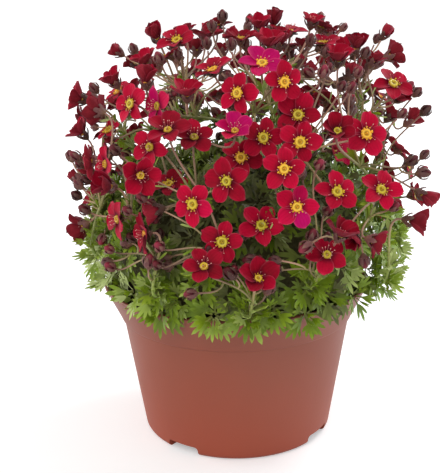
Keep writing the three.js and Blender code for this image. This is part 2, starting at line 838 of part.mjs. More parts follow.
// The compost follows the wall's inner face from the floor up, with a plain hole for the root.
function compost() {
  const [foot, step, collar, lip] = innerWall;
  const share = (COMPOST.edge - collar[1]) / (lip[1] - collar[1]);
  const edge = THREE.MathUtils.lerp(collar[0], lip[0], share);
  const body = turned(
    [
      [0, POT.floor + GAP],
      [foot[0] - GAP, POT.floor + GAP],
      [step[0] - GAP, step[1]],
      [collar[0] - GAP, collar[1]],
      [edge - GAP, COMPOST.edge],
      [0, COMPOST.middle],
    ],
    POT.sides,
  );
  const bottom = ROOT.bottom - GAP;
  const depth = 2 * (COMPOST.middle - bottom);
  const radius = ROOT.radius + GAP / Math.cos(Math.PI / ROOT.sides) + SOCKET_SLACK;
  const hole = new THREE.CylinderGeometry(radius, radius, depth, ROOT.sides);
  hole.rotateX(Math.PI / 2).translate(CUSHION.x, 0, bottom + depth / 2);
  return solid(body).subtract(solid(hole));
}

// The core: a rounded bush that stands inside the rim, over the root that holds it.
function core() {
  const profile = [
    [0, CUSHION.neckBottom],
    [CUSHION.neckRadius, CUSHION.neckBottom],
    [CUSHION.skirtRadius, CUSHION.skirtHeight],
  ];
  for (let k = 0; k <= CUSHION.steps; k++) {
    const angle = (k / CUSHION.steps) * (Math.PI / 2);
    const way = new THREE.Vector3(Math.cos(angle), 0, Math.sin(angle));
    const reach = cushionReach(way) - CUSHION.coreInset;
    profile.push([k === CUSHION.steps ? 0 : reach * way.x, CUSHION.z + reach * way.z]);
  }
  const bush = solid(turned(profile, CUSHION.sides).translate(CUSHION.x, 0, 0));
  const depth = CUSHION.skirtHeight - ROOT.bottom;
  const root = new THREE.CylinderGeometry(ROOT.radius, ROOT.radius, depth, ROOT.sides);
  root.rotateX(Math.PI / 2).translate(CUSHION.x, 0, ROOT.bottom + depth / 2);
  return fuse([bush, solid(root)]);
}

const group = new THREE.Group();
function add(name, body, color, roughness) {
  const material = new THREE.MeshStandardMaterial({ color, roughness, metalness: 0 });
  const mesh = new THREE.Mesh(geometryOf(body), material);
  mesh.name = name;
  group.add(mesh);
}

add("pot", pot(), COLOURS.pot, 0.55);
add("compost", compost(), COLOURS.compost, 0.95);

const planted = sites.filter((site) => site.stems.length > 0);
const leaves = fuse([core(), ...sites.map(rosette)]);
const cushion = planted.reduce((body, site) => body.subtract(socket(site)), leaves);
add("leaf_cushion", fuse([cushion]), COLOURS.leaves, 0.7);

planted.forEach((site, index) => {
  const spray = fuse([leadSolid(site.stems), ...site.stems.slice(1).map(branchSolid)]);
  const name = "flower_spray_" + String(index + 1).padStart(2, "0");
  add(name, spray, COLOURS.petals, 0.6);
});

export default group;
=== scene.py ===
"""A mossy saxifrage in flower in its plastic pot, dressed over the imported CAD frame.

Metres, +Z up, and -Y is the front. Sizes are written in millimetres and scaled as meshes are made.
"""

import json
import math

import bpy
import numpy as np
from mathutils import Matrix, Quaternion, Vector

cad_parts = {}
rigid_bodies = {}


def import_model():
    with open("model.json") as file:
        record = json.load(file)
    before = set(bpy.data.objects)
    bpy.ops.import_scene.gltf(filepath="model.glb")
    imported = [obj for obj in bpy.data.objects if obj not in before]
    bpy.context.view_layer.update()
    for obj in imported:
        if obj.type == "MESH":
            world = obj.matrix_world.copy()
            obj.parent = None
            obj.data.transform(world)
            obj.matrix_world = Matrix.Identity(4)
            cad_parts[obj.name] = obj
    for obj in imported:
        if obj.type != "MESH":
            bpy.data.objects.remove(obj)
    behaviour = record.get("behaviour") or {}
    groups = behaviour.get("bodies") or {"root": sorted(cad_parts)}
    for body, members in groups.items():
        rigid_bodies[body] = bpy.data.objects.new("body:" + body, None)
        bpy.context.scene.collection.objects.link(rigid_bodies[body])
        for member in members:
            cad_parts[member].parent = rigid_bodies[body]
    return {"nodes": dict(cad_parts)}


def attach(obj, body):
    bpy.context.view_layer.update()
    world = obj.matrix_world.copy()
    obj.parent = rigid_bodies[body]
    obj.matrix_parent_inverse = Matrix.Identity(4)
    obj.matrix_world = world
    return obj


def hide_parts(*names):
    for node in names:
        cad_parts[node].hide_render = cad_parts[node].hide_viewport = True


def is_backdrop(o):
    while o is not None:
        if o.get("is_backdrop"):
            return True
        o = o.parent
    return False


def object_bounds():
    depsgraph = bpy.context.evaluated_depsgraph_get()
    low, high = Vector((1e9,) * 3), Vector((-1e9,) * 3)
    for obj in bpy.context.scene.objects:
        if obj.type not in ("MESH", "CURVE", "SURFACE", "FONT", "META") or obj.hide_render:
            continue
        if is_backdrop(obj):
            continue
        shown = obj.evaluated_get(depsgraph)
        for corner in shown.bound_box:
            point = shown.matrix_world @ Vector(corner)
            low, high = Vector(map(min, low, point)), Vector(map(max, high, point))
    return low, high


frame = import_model()
cad_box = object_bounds()
cad_low, cad_high = (np.array(corner) * 1000 for corner in cad_box)
MM = 0.001

# The camera
# It stands 38 cm in front of the pot and a little left of its middle, and looks slightly down. Its
# picture is measured in pixels of the photograph's frame, which is 473 pixels high.
EYE = np.array([-7.5, -382.0, 196.0])
PICTURE = {"height": 473, "focal": 800, "middle_x": 220, "middle_y": 236.5, "dip": 0.256, "roll": -0.0175}
SENSOR = 36

camera = bpy.data.objects.new("camera", bpy.data.cameras.new("camera"))
bpy.context.scene.collection.objects.link(camera)
camera.data.sensor_width = SENSOR
camera.data.lens = PICTURE["focal"] * SENSOR / PICTURE["height"]
camera.data.clip_start = 0.01
camera.matrix_world = (
    Matrix.Translation(EYE * MM)
    @ Matrix.Rotation(math.pi / 2 - PICTURE["dip"], 4, "X")
    @ Matrix.Rotation(PICTURE["roll"], 4, "Z")
)
bpy.context.scene.camera = camera

# The pot
# A thin pot of matt terracotta-coloured plastic, injection moulded in one piece: a leaning wall, a
# flared collar with a rolled lip, and a lifted floor with four drain holes cut into its corner.
POT = {
    "lip_radius": 65.0,
    "height": 76.0,
    "lip_roll": 0.9,
    "collar_foot": 59.2,
    "collar_foot_radius": 57.4,
    "collar_step": 1.2,
    "foot_radius": 47.4,
    "foot_round": 3.0,
    "wall": 1.4,
    "floor": 3.2,
    "foot_ring": 6.2,
    "recess": 1.6,
    "centre_pad": 14.0,
    "sides": 144,
    "sharp": 38,
}
DRAIN = {"width": 17.0, "height": 4.6, "reach": 7.0, "round": 1.6, "azimuths": (-35, 55, 145, 235)}
POT_COLOUR = (0.385, 0.069, 0.030, 1)
# The second, browner colour marks random clouds, and painted shade of the leaves towards the rim.
POT_CLOUD_AND_PAINTED_SHADE = (0.285, 0.069, 0.036, 1)
POT_CLOUDS_AND_SHADE = {"clouds": 0.35, "height": 9.0, "start": 0.2, "end": 0.75, "roughness": (0.4, 0.54)}


def add_mesh(name, points, faces):
    """A smooth mesh from points in millimetres."""
    mesh = bpy.data.meshes.new(name)
    mesh.from_pydata((np.asarray(points) * MM).tolist(), [], faces)
    mesh.validate()
    mesh.shade_smooth()
    return mesh


def add_object(name, mesh):
    made = bpy.data.objects.new(name, mesh)
    bpy.context.scene.collection.objects.link(made)
    return made


def applied(holder):
    """The same object with its modifiers turned into plain mesh."""
    depsgraph = bpy.context.evaluated_depsgraph_get()
    made = bpy.data.meshes.new_from_object(
        holder.evaluated_get(depsgraph), preserve_all_data_layers=True, depsgraph=depsgraph
    )
    made.name = holder.name
    holder.modifiers.clear()
    holder.data = made
    return holder


def set_piece(piece, slot, *nodes):
    """Puts a finished piece on the one body and hides the frame nodes that it stands for. The slot is not
    used.
    """
    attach(piece, "root")
    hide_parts(*nodes)


def add_node(tree, kind, inputs=None, **settings):
    """A node with its settings and inputs: an input is a value, or a socket to link from."""
    made = tree.nodes.new(kind)
    for key, value in settings.items():
        setattr(made, key, value)
    for key, value in (inputs or {}).items():
        if isinstance(value, bpy.types.NodeSocket):
            tree.links.new(value, made.inputs[key])
        else:
            made.inputs[key].default_value = value
    return made


def math_node(tree, operation, *values):
    return add_node(tree, "ShaderNodeMath", dict(enumerate(values)), operation=operation).outputs[0]


def map_range(tree, value, low, high, to_low, to_high):
    inputs = {"Value": value, "From Min": low, "From Max": high, "To Min": to_low, "To Max": to_high}
    return add_node(tree, "ShaderNodeMapRange", inputs).outputs[0]


def mix_colours(tree, share, first, second):
    return add_node(tree, "ShaderNodeMix", {0: share, 6: first, 7: second}, data_type="RGBA").outputs[2]


def own_place(tree):
    """A point's place in its own piece."""
    return add_node(tree, "ShaderNodeTexCoord").outputs["Object"]


def noise(tree, scale, detail, roughness=0.5):
    inputs = {"Vector": own_place(tree), "Scale": scale, "Detail": detail, "Roughness": roughness}
    return add_node(tree, "ShaderNodeTexNoise", inputs).outputs[0]


def add_finish(name, **values):
    """A material with its Principled shader, whose plain values are set on its own sockets."""
    material = bpy.data.materials.new(name)
    material.use_nodes = True
    shader = material.node_tree.nodes["Principled BSDF"]
    for key, value in values.items():
        shader.inputs[key.replace("_", " ").title().replace("Ior", "IOR")].default_value = value
    return material, material.node_tree, shader


def paint(tree, shader, colour):
    tree.links.new(colour, shader.inputs["Base Color"])


def add_bump(tree, shader, height, strength, distance):
    bump = add_node(
        tree, "ShaderNodeBump", {"Strength": strength, "Distance": distance, "Height": height}
    )
    tree.links.new(bump.outputs[0], shader.inputs["Normal"])


def ring_faces(sides, rings):
    """The faces of rings of points between a first and a last point."""
    faces = []
    top = 1 + (rings - 1) * sides
    for i in range(sides):
        j = (i + 1) % sides
        faces.append((0, 1 + j, 1 + i))
        for low in range(1, top, sides):
            faces.append((low + i, low + j, low + sides + j, low + sides + i))
        faces.append((top + i, top + j, top + sides))
    return faces


def lathe(profile, sides):
    """Points and faces of a shape turned round +Z from [radius, height] pairs, axis to axis."""
    turns = np.arange(sides) / sides * 2 * np.pi
    points = [(0, 0, profile[0][1])]
    for radius, height in profile[1:-1]:
        ring = np.stack([radius * np.cos(turns), radius * np.sin(turns), np.full(sides, height)], 1)
        points.extend(ring.tolist())
    points.append((0, 0, profile[-1][1]))
    return np.array(points), ring_faces(sides, len(profile) - 2)


def arc(centre, radius, start, stop, steps):
    """A run of [radius, height] pairs round a centre, by angles in degrees."""
    turns = np.radians(np.linspace(start, stop, steps))
    return [(centre[0] + radius * math.cos(t), centre[1] + radius * math.sin(t)) for t in turns]


# The outline goes out under the floor, up the wall and its collar, over the lip and down inside.
foot, foot_round, wall, floor = (POT[key] for key in ("foot_radius", "foot_round", "wall", "floor"))
collar, collar_foot = POT["collar_foot_radius"], POT["collar_foot"]
ring_inside = foot - POT["foot_ring"]
wall_top = collar - POT["collar_step"]
lip_middle, lip_roll = POT["lip_radius"] - POT["lip_roll"], POT["lip_roll"]
pot_profile = [
    (0, 0),
    (POT["centre_pad"], 0),
    (POT["centre_pad"] + 0.4, 0.2),
    (POT["centre_pad"] + 1, POT["recess"]),
    (ring_inside - 1, POT["recess"]),
    (ring_inside - 0.4, 0.2),
    (ring_inside, 0),
    *arc((foot - foot_round, foot_round), foot_round, -90, 0, 6),
    (wall_top - 0.1, collar_foot - 1.6),
    (wall_top + 0.1, collar_foot - 0.9),
    (collar - 0.3, collar_foot - 0.5),
    (collar, collar_foot),
    (collar + 0.25, collar_foot + 0.8),
    *arc((lip_middle, POT["height"] - lip_roll), lip_roll, -60, 170, 12),
    (lip_middle - wall, POT["height"] - 2.4),
    (collar - wall, collar_foot + 1),
    (wall_top - wall, collar_foot - 1),
    (foot - wall + 0.1, floor + 2),
    (foot - wall - 0.5, floor + 0.4),
    (foot - wall - 2, floor),
    (0, floor),
]
pot = add_object("pot_shell", add_mesh("pot_shell", *lathe(pot_profile, POT["sides"])))

# Each drain hole is cut by a block with rounded corners, which stands across the wall's foot.
BLOCK_SIDES = [(0, 1, 3, 2), (4, 6, 7, 5), (0, 4, 5, 1), (2, 3, 7, 6), (0, 2, 6, 4), (1, 5, 7, 3)]
drain_blocks = []
for azimuth in DRAIN["azimuths"]:
    block = bpy.data.meshes.new("drain_block")
    corners = [
        (x * DRAIN["reach"], y * DRAIN["width"] / 2, z * DRAIN["height"])
        for x in (-1, 1) for y in (-1, 1) for z in (-1, 1)
    ]
    block.from_pydata((np.array(corners) * MM).tolist(), [], BLOCK_SIDES)
    block.transform(
        Matrix.Rotation(math.radians(azimuth - 90), 4, "Z") @ Matrix.Translation((foot * MM, 0, 0))
    )
    holder = add_object("drain_block", block)
    rounding = holder.modifiers.new("rounding", "BEVEL")
    rounding.width = DRAIN["round"] * MM
    rounding.segments = 4
    drain_blocks.append(applied(holder))
for block in drain_blocks:
    cut = pot.modifiers.new("drain", "BOOLEAN")
    cut.operation = "DIFFERENCE"
    cut.solver = "EXACT"
    cut.object = block
applied(pot)
for block in drain_blocks:
    bpy.data.objects.remove(block)
pot.data.set_sharp_from_angle(angle=math.radians(POT["sharp"]))

# The colour varies from cloud to cloud and turns browner towards the rim, where it is painted shade of the
# overhanging leaves, under a fine moulded stipple.
pot_finish, tree, shader = add_finish("terracotta_plastic", specular_ior_level=0.55)
clouds = noise(tree, scale=22, detail=3, roughness=0.6)
height = add_node(tree, "ShaderNodeSeparateXYZ", {0: own_place(tree)}).outputs[2]
painted_rim_shade = math_node(tree, "MULTIPLY", height, POT_CLOUDS_AND_SHADE["height"])
clouds_and_rim_shade = math_node(tree, "MULTIPLY_ADD", clouds, POT_CLOUDS_AND_SHADE["clouds"], painted_rim_shade)
clouds_and_rim_shade_share = map_range(tree, clouds_and_rim_shade, POT_CLOUDS_AND_SHADE["start"], POT_CLOUDS_AND_SHADE["end"], 0, 1)
paint(tree, shader, mix_colours(tree, clouds_and_rim_shade_share, POT_COLOUR, POT_CLOUD_AND_PAINTED_SHADE))
tree.links.new(map_range(tree, clouds, 0, 1, *POT_CLOUDS_AND_SHADE["roughness"]), shader.inputs["Roughness"])
add_bump(tree, shader, noise(tree, scale=900, detail=2), strength=0.12, distance=0.0002)
pot.data.materials.clear()
pot.data.materials.append(pot_finish)
set_piece(pot, "pot", "pot")

# The compost
# Dark peat compost, pressed in to just under the rim. Its face is uneven and strewn with crumbs.
COMPOST = {
    "edge": 69.0,
    "middle": 71.0,
    "edge_radius": 60.6,
    "under": [(0, 3.6), (45.4, 3.6), (45.8, 6), (54.4, 58.2), (55.6, 60.4)],
    "rings": 16,
    "sides": 72,
    "uneven": 0.7,
    "face_depth": 0.5,
}
CRUMB = {
    "radius": 1.1,
    "density": 90000.0,
    "least": (0.4, 0.4, 0.3),
    "most": (1.5, 1.1, 0.9),
    "seed": 5,
}
PEAT_COLOURS = ((0.012, 0.007, 0.004, 1), (0.075, 0.043, 0.024, 1))


def add_tree(name, inputs):
    """An empty Geometry Nodes tree with named inputs, and its input and output nodes."""
    tree = bpy.data.node_groups.new(name, "GeometryNodeTree")
    for label, kind in inputs.items():
        tree.interface.new_socket(label, in_out="INPUT", socket_type="NodeSocket" + kind)
    tree.interface.new_socket("Result", in_out="OUTPUT", socket_type="NodeSocketGeometry")
    return tree, tree.nodes.new("NodeGroupInput").outputs, tree.nodes.new("NodeGroupOutput").inputs


def joined(tree, *geometries):
    made = tree.nodes.new("GeometryNodeJoinGeometry")
    for geometry in geometries:
        tree.links.new(geometry, made.inputs[0])
    return made.outputs[0]


def realised(tree, geometry, finish):
    """Copies made real and given a finish, as each tree ends."""
    solid = add_node(tree, "GeometryNodeRealizeInstances", {"Geometry": geometry}).outputs[0]
    inputs = {"Geometry": solid, "Material": finish}
    return add_node(tree, "GeometryNodeSetMaterial", inputs).outputs[0]


def grow(holder, tree, values):
    """Runs a tree on an object, with its inputs by name, and keeps the result as plain mesh."""
    modifier = holder.modifiers.new(tree.name, "NODES")
    modifier.node_group = tree
    for item in tree.interface.items_tree:
        if item.in_out == "INPUT" and item.name in values:
            modifier[item.identifier] = values[item.name]
    return applied(holder)


compost_profile = list(COMPOST["under"])
for share in np.arange(COMPOST["rings"] + 1) / COMPOST["rings"]:
    height = COMPOST["edge"] + (COMPOST["middle"] - COMPOST["edge"]) * share
    compost_profile.append((COMPOST["edge_radius"] * (1 - share), height))
points, faces = lathe(compost_profile, COMPOST["sides"])
face_foot = COMPOST["edge"] - COMPOST["face_depth"]
is_face = points[:, 2] > face_foot
uneven = np.random.default_rng(CRUMB["seed"]).uniform(-COMPOST["uneven"], COMPOST["uneven"], is_face.sum())
points[is_face, 2] += uneven
compost = add_object("compost_fill", add_mesh("compost_fill", points, faces))

crumbs_tree, given, result = add_tree(
    "crumbs",
    {
        "Body": "Geometry",
        "Crumb Radius": "Float",
        "Density": "Float",
        "Lowest": "Float",
        "Least": "Vector",
        "Most": "Vector",
        "Seed": "Int",
        "Finish": "Material",
    },
)
crumb = add_node(
    crumbs_tree, "GeometryNodeMeshIcoSphere", {"Radius": given["Crumb Radius"], "Subdivisions": 1}
)
place = add_node(crumbs_tree, "GeometryNodeInputPosition").outputs[0]
height = add_node(crumbs_tree, "ShaderNodeSeparateXYZ", {0: place}).outputs["Z"]
is_top = add_node(
    crumbs_tree, "FunctionNodeCompare", {0: height, 1: given["Lowest"]}, operation="GREATER_THAN"
)
spots = add_node(
    crumbs_tree,
    "GeometryNodeDistributePointsOnFaces",
    {
        "Mesh": given["Body"],
        "Selection": is_top.outputs[0],
        "Density": given["Density"],
        "Seed": given["Seed"],
    },
)
stretch = add_node(
    crumbs_tree,
    "FunctionNodeRandomValue",
    {0: given["Least"], 1: given["Most"], "Seed": given["Seed"]},
    data_type="FLOAT_VECTOR",
)
crumbs = add_node(
    crumbs_tree,
    "GeometryNodeInstanceOnPoints",
    {
        "Points": spots.outputs["Points"],
        "Instance": crumb.outputs["Mesh"],
        "Rotation": spots.outputs["Rotation"],
        "Scale": stretch.outputs[0],
    },
)
strewn = joined(crumbs_tree, crumbs.outputs[0], given["Body"])
crumbs_tree.links.new(realised(crumbs_tree, strewn, given["Finish"]), result[0])

compost_finish, tree, shader = add_finish("peat_compost", roughness=0.95, specular_ior_level=0.2)
grains = noise(tree, scale=420, detail=5, roughness=0.7)
paint(tree, shader, mix_colours(tree, grains, *PEAT_COLOURS))
add_bump(tree, shader, grains, strength=0.7, distance=0.0008)
grow(
    compost,
    crumbs_tree,
    {
        "Crumb Radius": CRUMB["radius"] * MM,
        "Density": CRUMB["density"],
        "Lowest": face_foot * MM,
        "Least": CRUMB["least"],
        "Most": CRUMB["most"],
        "Seed": CRUMB["seed"],
        "Finish": compost_finish,
    },
)
set_piece(compost, "compost", "compost")

# The way the plant has grown
# Leaf rosettes cover a low cushion, and from most of them a lead stalk rises and forks. Each stalk
# ends in a flower or a bud, and these make up a dome. All of it repeats what the frame's solids do.
CUSHION = {"x": 4.0, "z": 86.0, "radius": 69.0, "rise": 49.0, "power": 2.3, "lift": 0.15}
SITES = {"count": 39, "lowest": -5.0, "crowding": 1.3}
DOME = {"middle": np.array([8.0, 0.0, 98.0]), "half": np.array([85.0, 82.0, 102.0]), "power": 2.55}
SIGHT = {"from": 260.0, "to": 500.0, "step": 0.5}
STALK = {"start": 2.2, "sink": 8.0, "rising": 0.42, "arriving": 0.34, "steps": 4, "flower_steps": 2}
BALL = {"stalk": 0.95, "heart": 2.6, "petal": 2.0, "bud": 2.7, "spacing": 2.0, "unchecked": 2}
BLOOM = {"radius": 9.0, "petals": 5, "neck": 2.4, "shut_raise": 80.0, "uneven_radius": 0.06}
PETAL_BALLS = ((0.45, 0), (0.78, -14), (0.78, 14))
BUD = {"length": 5.6, "lift": 0.6}
FIT = {
    "steps": (0, 5, 10, -5, 15, 20, -10, 25, 30, 35),
    "flowers": 4,
    "buds": 3,
    "widest": 0.7,
    "fullness": 0.1,
    "forks": (0.5, 0.25, 0.75),
    "clearance": 0.5,
    "stalk_over": 1.5,
    "head_over": 4.0,
}
FAR_SIDE = {
    "flowers": 42,
    "buds": 9,
    "from": 6.0,
    "inset": 7.0,
    "lowest": -6.0,
    "highest": 86.0,
    "aside": 0.7,
    "upward": 0.9,
    "most_open": 0.95,
    "closing": 0.5,
    "bud_height": -2.0,
}
GROWTH_SEED = 4711
GOLDEN_ANGLE = 137.508
UP = np.array([0.0, 0.0, 1.0])
GUIDE = np.array([0.31, 0.12, 1.0])
TINY = 1e-4

# The flowers that the photograph shows: place in the picture in pixels, the way each faces in
# degrees round from the front and up, how far it is open, and how far behind the dome's near face.
FLOWERS_SEEN = [
    (284, 82, 15, 8, 0.95, 0), (238, 93, -35, 8, 0.92, 0), (300, 142, 5, 12, 0.96, 0),
    (222, 242, 0, 14, 0.95, 0), (193, 204, -25, 5, 0.95, 0), (227, 181, -25, 5, 0.92, 0),
    (366, 134, 10, 25, 0.95, 0), (297, 207, 0, 12, 0.95, 0), (263, 138, 10, 15, 0.9, 0),
    (298, 115, 0, 20, 0.9, 0), (150, 147, -25, 10, 0.92, 0), (131, 104, -45, 15, 0.9, 0),
    (158, 106, -60, 5, 0.9, 0), (284, 169, 5, 15, 0.95, 0), (241, 158, -5, 30, 0.95, 0),
    (327, 255, 5, 40, 0.95, 0), (261, 226, 5, 40, 0.85, 0), (381, 190, 15, 35, 0.95, 0),
    (337, 192, 10, 30, 0.9, 0), (194, 138, 10, 50, 0.8, 0), (258, 279, 10, 40, 0.6, 0),
    (118, 219, -60, 0, 0.9, 0), (106, 164, -62, 5, 0.9, 0), (393, 84, 20, 45, 0.9, 0),
    (168, 131, -10, 60, 0.8, 0), (169, 185, -20, 60, 0.8, 0), (213, 71, -50, 65, 0.8, 0),
    (177, 41, -20, 50, 0.8, 10), (262, 64, 0, 50, 0.85, 0), (235, 132, 0, 55, 0.7, 0),
    (187, 97, 0, 75, 0.5, 0), (140, 175, 20, 0, 0.75, 0), (146, 234, -70, -5, 0.8, 0),
    (204, 267, 0, 45, 0.8, 0), (337, 132, 0, 40, 0.6, 0), (333, 149, 60, 20, 0.7, 0),
    (339, 237, 60, 60, 0.55, 0), (371, 240, 80, -20, 0.6, 0), (93, 160, -95, 0, 0.8, 0),
    (85, 225, -110, -30, 0.6, 0), (112, 187, -50, 20, 0.4, 0), (84, 100, -90, 20, 0.5, 0),
    (101, 112, -130, 10, 0.55, 0), (83, 119, -95, 0, 0.8, 0), (84, 135, -80, 50, 0.5, 0),
    (116, 84, -70, 60, 0.5, 15), (147, 64, -60, 60, 0.5, 30), (146, 84, 0, 80, 0.35, 15),
    (158, 40, -45, 60, 0.25, 25), (205, 38, 0, 85, 0.75, 45), (240, 40, 0, 80, 0.75, 20),
    (274, 27, 0, 80, 0.25, 35), (260, 30, 0, 70, 0.45, 10), (269, 48, 0, 75, 0.45, 0),
    (290, 32, 0, 80, 0.85, 50), (322, 44, 0, 80, 0.8, 30), (356, 50, 10, 70, 0.4, 20),
    (345, 53, -20, 60, 0.5, 50), (338, 62, 0, 70, 0.5, 10), (388, 57, 110, 20, 0.6, 10),
    (420, 193, 90, -30, 0.35, 0), (408, 220, 80, -10, 0.4, 0),
]
# The closed buds that it shows, by place alone: they lean as the dome does.
BUDS_SEEN = [
    (223, 24, 30), (213, 34, 0), (319, 24, 40), (99, 94, 0), (162, 66, 10), (180, 62, 20),
    (208, 51, 25), (232, 52, 15), (246, 52, 30), (309, 48, 20), (374, 45, 25), (324, 59, 30),
    (362, 60, 10), (326, 76, 10), (355, 79, 0), (339, 93, 0), (348, 94, 0), (412, 98, 0),
    (397, 119, 0), (420, 116, 0), (321, 79, 0), (82, 161, 0), (86, 168, 0), (92, 184, 0),
    (83, 199, 0), (91, 213, 0), (120, 155, 0), (132, 214, 0), (136, 240, 0), (115, 252, 0),
    (116, 269, 0), (146, 201, 0), (155, 207, 0), (161, 267, 0), (163, 249, 0), (275, 187, 0),
    (317, 169, 0), (325, 214, 0), (235, 272, 0), (276, 270, 0), (406, 165, 0), (416, 175, 0),
    (388, 210, 0),
]


def draws(state):
    """A seeded stream of numbers between 0 and 1, the same as the frame's own."""
    while True:
        state = state * 16807 % 2147483647
        yield state / 2147483647


def unit(vector):
    return vector / math.sqrt(vector @ vector)


def facing(turn, tilt):
    """The unit direction that lies so many degrees round from the front and so many up."""
    turn, tilt = math.radians(turn), math.radians(tilt)
    level = math.cos(tilt)
    return np.array([math.sin(turn) * level, -math.cos(turn) * level, math.sin(tilt)])


def square_to(out, guide=GUIDE):
    """Two directions square to an axis and to each other, the first as near to a guide as can be."""
    across = unit(guide - out * (guide @ out))
    return across, np.cross(out, across)


def ways_round(out, sides, angle, raised):
    """The radial, the own and the upward direction of a thing raised at an angle round an axis."""
    radial = sides[0] * math.cos(angle) + sides[1] * math.sin(angle)
    way = radial * math.cos(raised) + out * math.sin(raised)
    return radial, way, out * math.cos(raised) - radial * math.sin(raised)


def sight_of(px, py):
    """The direction of the line of sight through a pixel."""
    x, y = px - PICTURE["middle_x"], py - PICTURE["middle_y"]
    roll, dip = PICTURE["roll"], PICTURE["dip"]
    right = x * math.cos(roll) + y * math.sin(roll)
    down = y * math.cos(roll) - x * math.sin(roll)
    ahead = PICTURE["focal"] * math.cos(dip) - down * math.sin(dip)
    return unit(np.array([right, ahead, -PICTURE["focal"] * math.sin(dip) - down * math.cos(dip)]))


def dome_level(points):
    """How far out points lie by the dome's own measure: 1 on its face, and less inside."""
    share = (points - DOME["middle"]) / DOME["half"]
    plan = np.hypot(share[..., 0], share[..., 1])
    return plan ** DOME["power"] + np.abs(share[..., 2]) ** DOME["power"]


def meet_dome(sight):
    """Where a line of sight first meets the dome, or passes nearest to it."""
    line = EYE + sight * np.arange(SIGHT["from"], SIGHT["to"], SIGHT["step"])[:, None]
    levels = dome_level(line)
    inside = np.flatnonzero(levels <= 1)
    return line[inside[0] if inside.size else levels.argmin()]


def dome_facing(point):
    share = (point - DOME["middle"]) / DOME["half"]
    plan_slope = math.hypot(share[0], share[1]) ** (DOME["power"] - 2)
    upright = math.copysign(abs(share[2]) ** (DOME["power"] - 1), share[2])
    return unit(np.array([share[0] * plan_slope, share[1] * plan_slope, upright]) / DOME["half"])


def spread(count, lowest, highest, crowding):
    """Directions over a cap by the golden angle, closer together towards the lowest."""
    low, high = math.sin(math.radians(lowest)), math.sin(math.radians(highest))
    directions = []
    for k in range(count):
        share = ((k + 0.5) / count) ** crowding
        tilt = math.degrees(math.asin(low + share * (high - low)))
        directions.append(facing(k * GOLDEN_ANGLE % 360, tilt))
    return directions


cushion_centre = np.array([CUSHION["x"], 0.0, CUSHION["z"]])


def cushion_reach(direction):
    level = math.hypot(direction[0], direction[1]) / CUSHION["radius"]
    upright = abs(direction[2]) / CUSHION["rise"]
    return (level ** CUSHION["power"] + upright ** CUSHION["power"]) ** (-1 / CUSHION["power"])


def height_over_cushion(place):
    arm = place - cushion_centre
    length = math.sqrt(arm @ arm)
    return length - cushion_reach(arm / length)


def site_at(direction):
    """A place on the cushion where a rosette stands, and the way that it opens."""
    return {
        "direction": direction,
        "place": cushion_centre + direction * cushion_reach(direction),
        "out": unit(direction + UP * CUSHION["lift"]),
        "stems": [],
        "flowers": 0,
        "buds": 0,
    }


def bezier(curve, shares):
    """Points of a cubic curve at shares of the way along it."""
    t = np.asarray(shares, float)[..., None]
    a, b, c, d = curve
    return (1 - t) ** 3 * a + 3 * (1 - t) ** 2 * t * b + 3 * (1 - t) * t**2 * c + t**3 * d


def bezier_way(curve, share):
    before, after = bezier(curve, [max(share - TINY, 0), min(share + TINY, 1)])
    return unit(after - before)


def bend(start, start_way, end, end_way):
    span = math.sqrt((end - start) @ (end - start))
    return np.array(
        [start, start + start_way * span * STALK["rising"], end - end_way * span * STALK["arriving"], end]
    )


def head_sides(head):
    """Two directions across a head: its first is square to the way that its stalk comes, if known."""
    guide = np.cross(head["from"], head["out"]) if "from" in head else GUIDE
    return square_to(head["out"], guide if guide @ guide >= TINY else np.array([1.0, 0.0, 0.0]))


def head_balls(head):
    """Balls that fill a flower or a bud, as rows of x, y, z, radius and whether it is a stalk's."""
    if head["kind"] == "bud":
        return [[*(head["place"] + head["out"] * BUD["length"] / 2), BALL["bud"], 0]]
    rows = [[*head["place"], BALL["heart"], 0]]
    raised = math.radians((1 - head["open"]) * BLOOM["shut_raise"])
    for k in range(BLOOM["petals"]):
        angle = head["spin"] + k / BLOOM["petals"] * 2 * math.pi
        for share, turn in PETAL_BALLS:
            _, way, _ = ways_round(head["out"], head_sides(head), angle + math.radians(turn), raised)
            rows.append([*(head["place"] + way * share * head["radius"]), BALL["petal"], 0])
    return rows


def stalk_balls(curve, steps):
    corners = bezier(curve, np.arange(steps + 1) / steps)
    rows = []
    for start, end in zip(corners[:-1], corners[1:]):
        count = math.ceil(math.sqrt((end - start) @ (end - start)) / BALL["spacing"])
        rows.extend([*(start + (end - start) * j / count), BALL["stalk"], 1] for j in range(count))
    return rows[BALL["unchecked"] :]


def steps_of(head, is_lead):
    if is_lead:
        return STALK["steps"]
    return 1 if head["kind"] == "bud" else STALK["flower_steps"]


def stalk_to(head, site, fork):
    """The stalk that carries a head: its own from the rosette, or a branch off the site's lead."""
    end = head["place"] - head["out"] * (0 if head["kind"] == "bud" else BLOOM["neck"])
    if not site["stems"]:
        return bend(site["place"] + site["out"] * STALK["start"], site["out"], end, head["out"])
    lead = site["stems"][0]["curve"]
    start = bezier(lead, fork)
    return bend(start, unit(bezier_way(lead, fork) + unit(end - start)), end, head["out"])


sites = [site_at(d) for d in spread(SITES["count"], SITES["lowest"], 90, SITES["crowding"])]
taken = np.zeros((0, 6))


def is_clear(balls, index):
    gaps = np.linalg.norm(balls[:, None, :3] - taken[None, :, :3], axis=2)
    needed = balls[:, None, 3] + taken[None, :, 3] + FIT["clearance"]
    own = (balls[:, None, 4] * taken[None, :, 4] > 0) & (taken[None, :, 5] == index)
    return bool(np.all((gaps > needed) | own))


def take(balls, index, site, stem):
    """Gives a stem and the room that it fills to a site."""
    global taken
    taken = np.vstack([taken, np.column_stack([balls, np.full(len(balls), index)])])
    site["stems"].append(stem)


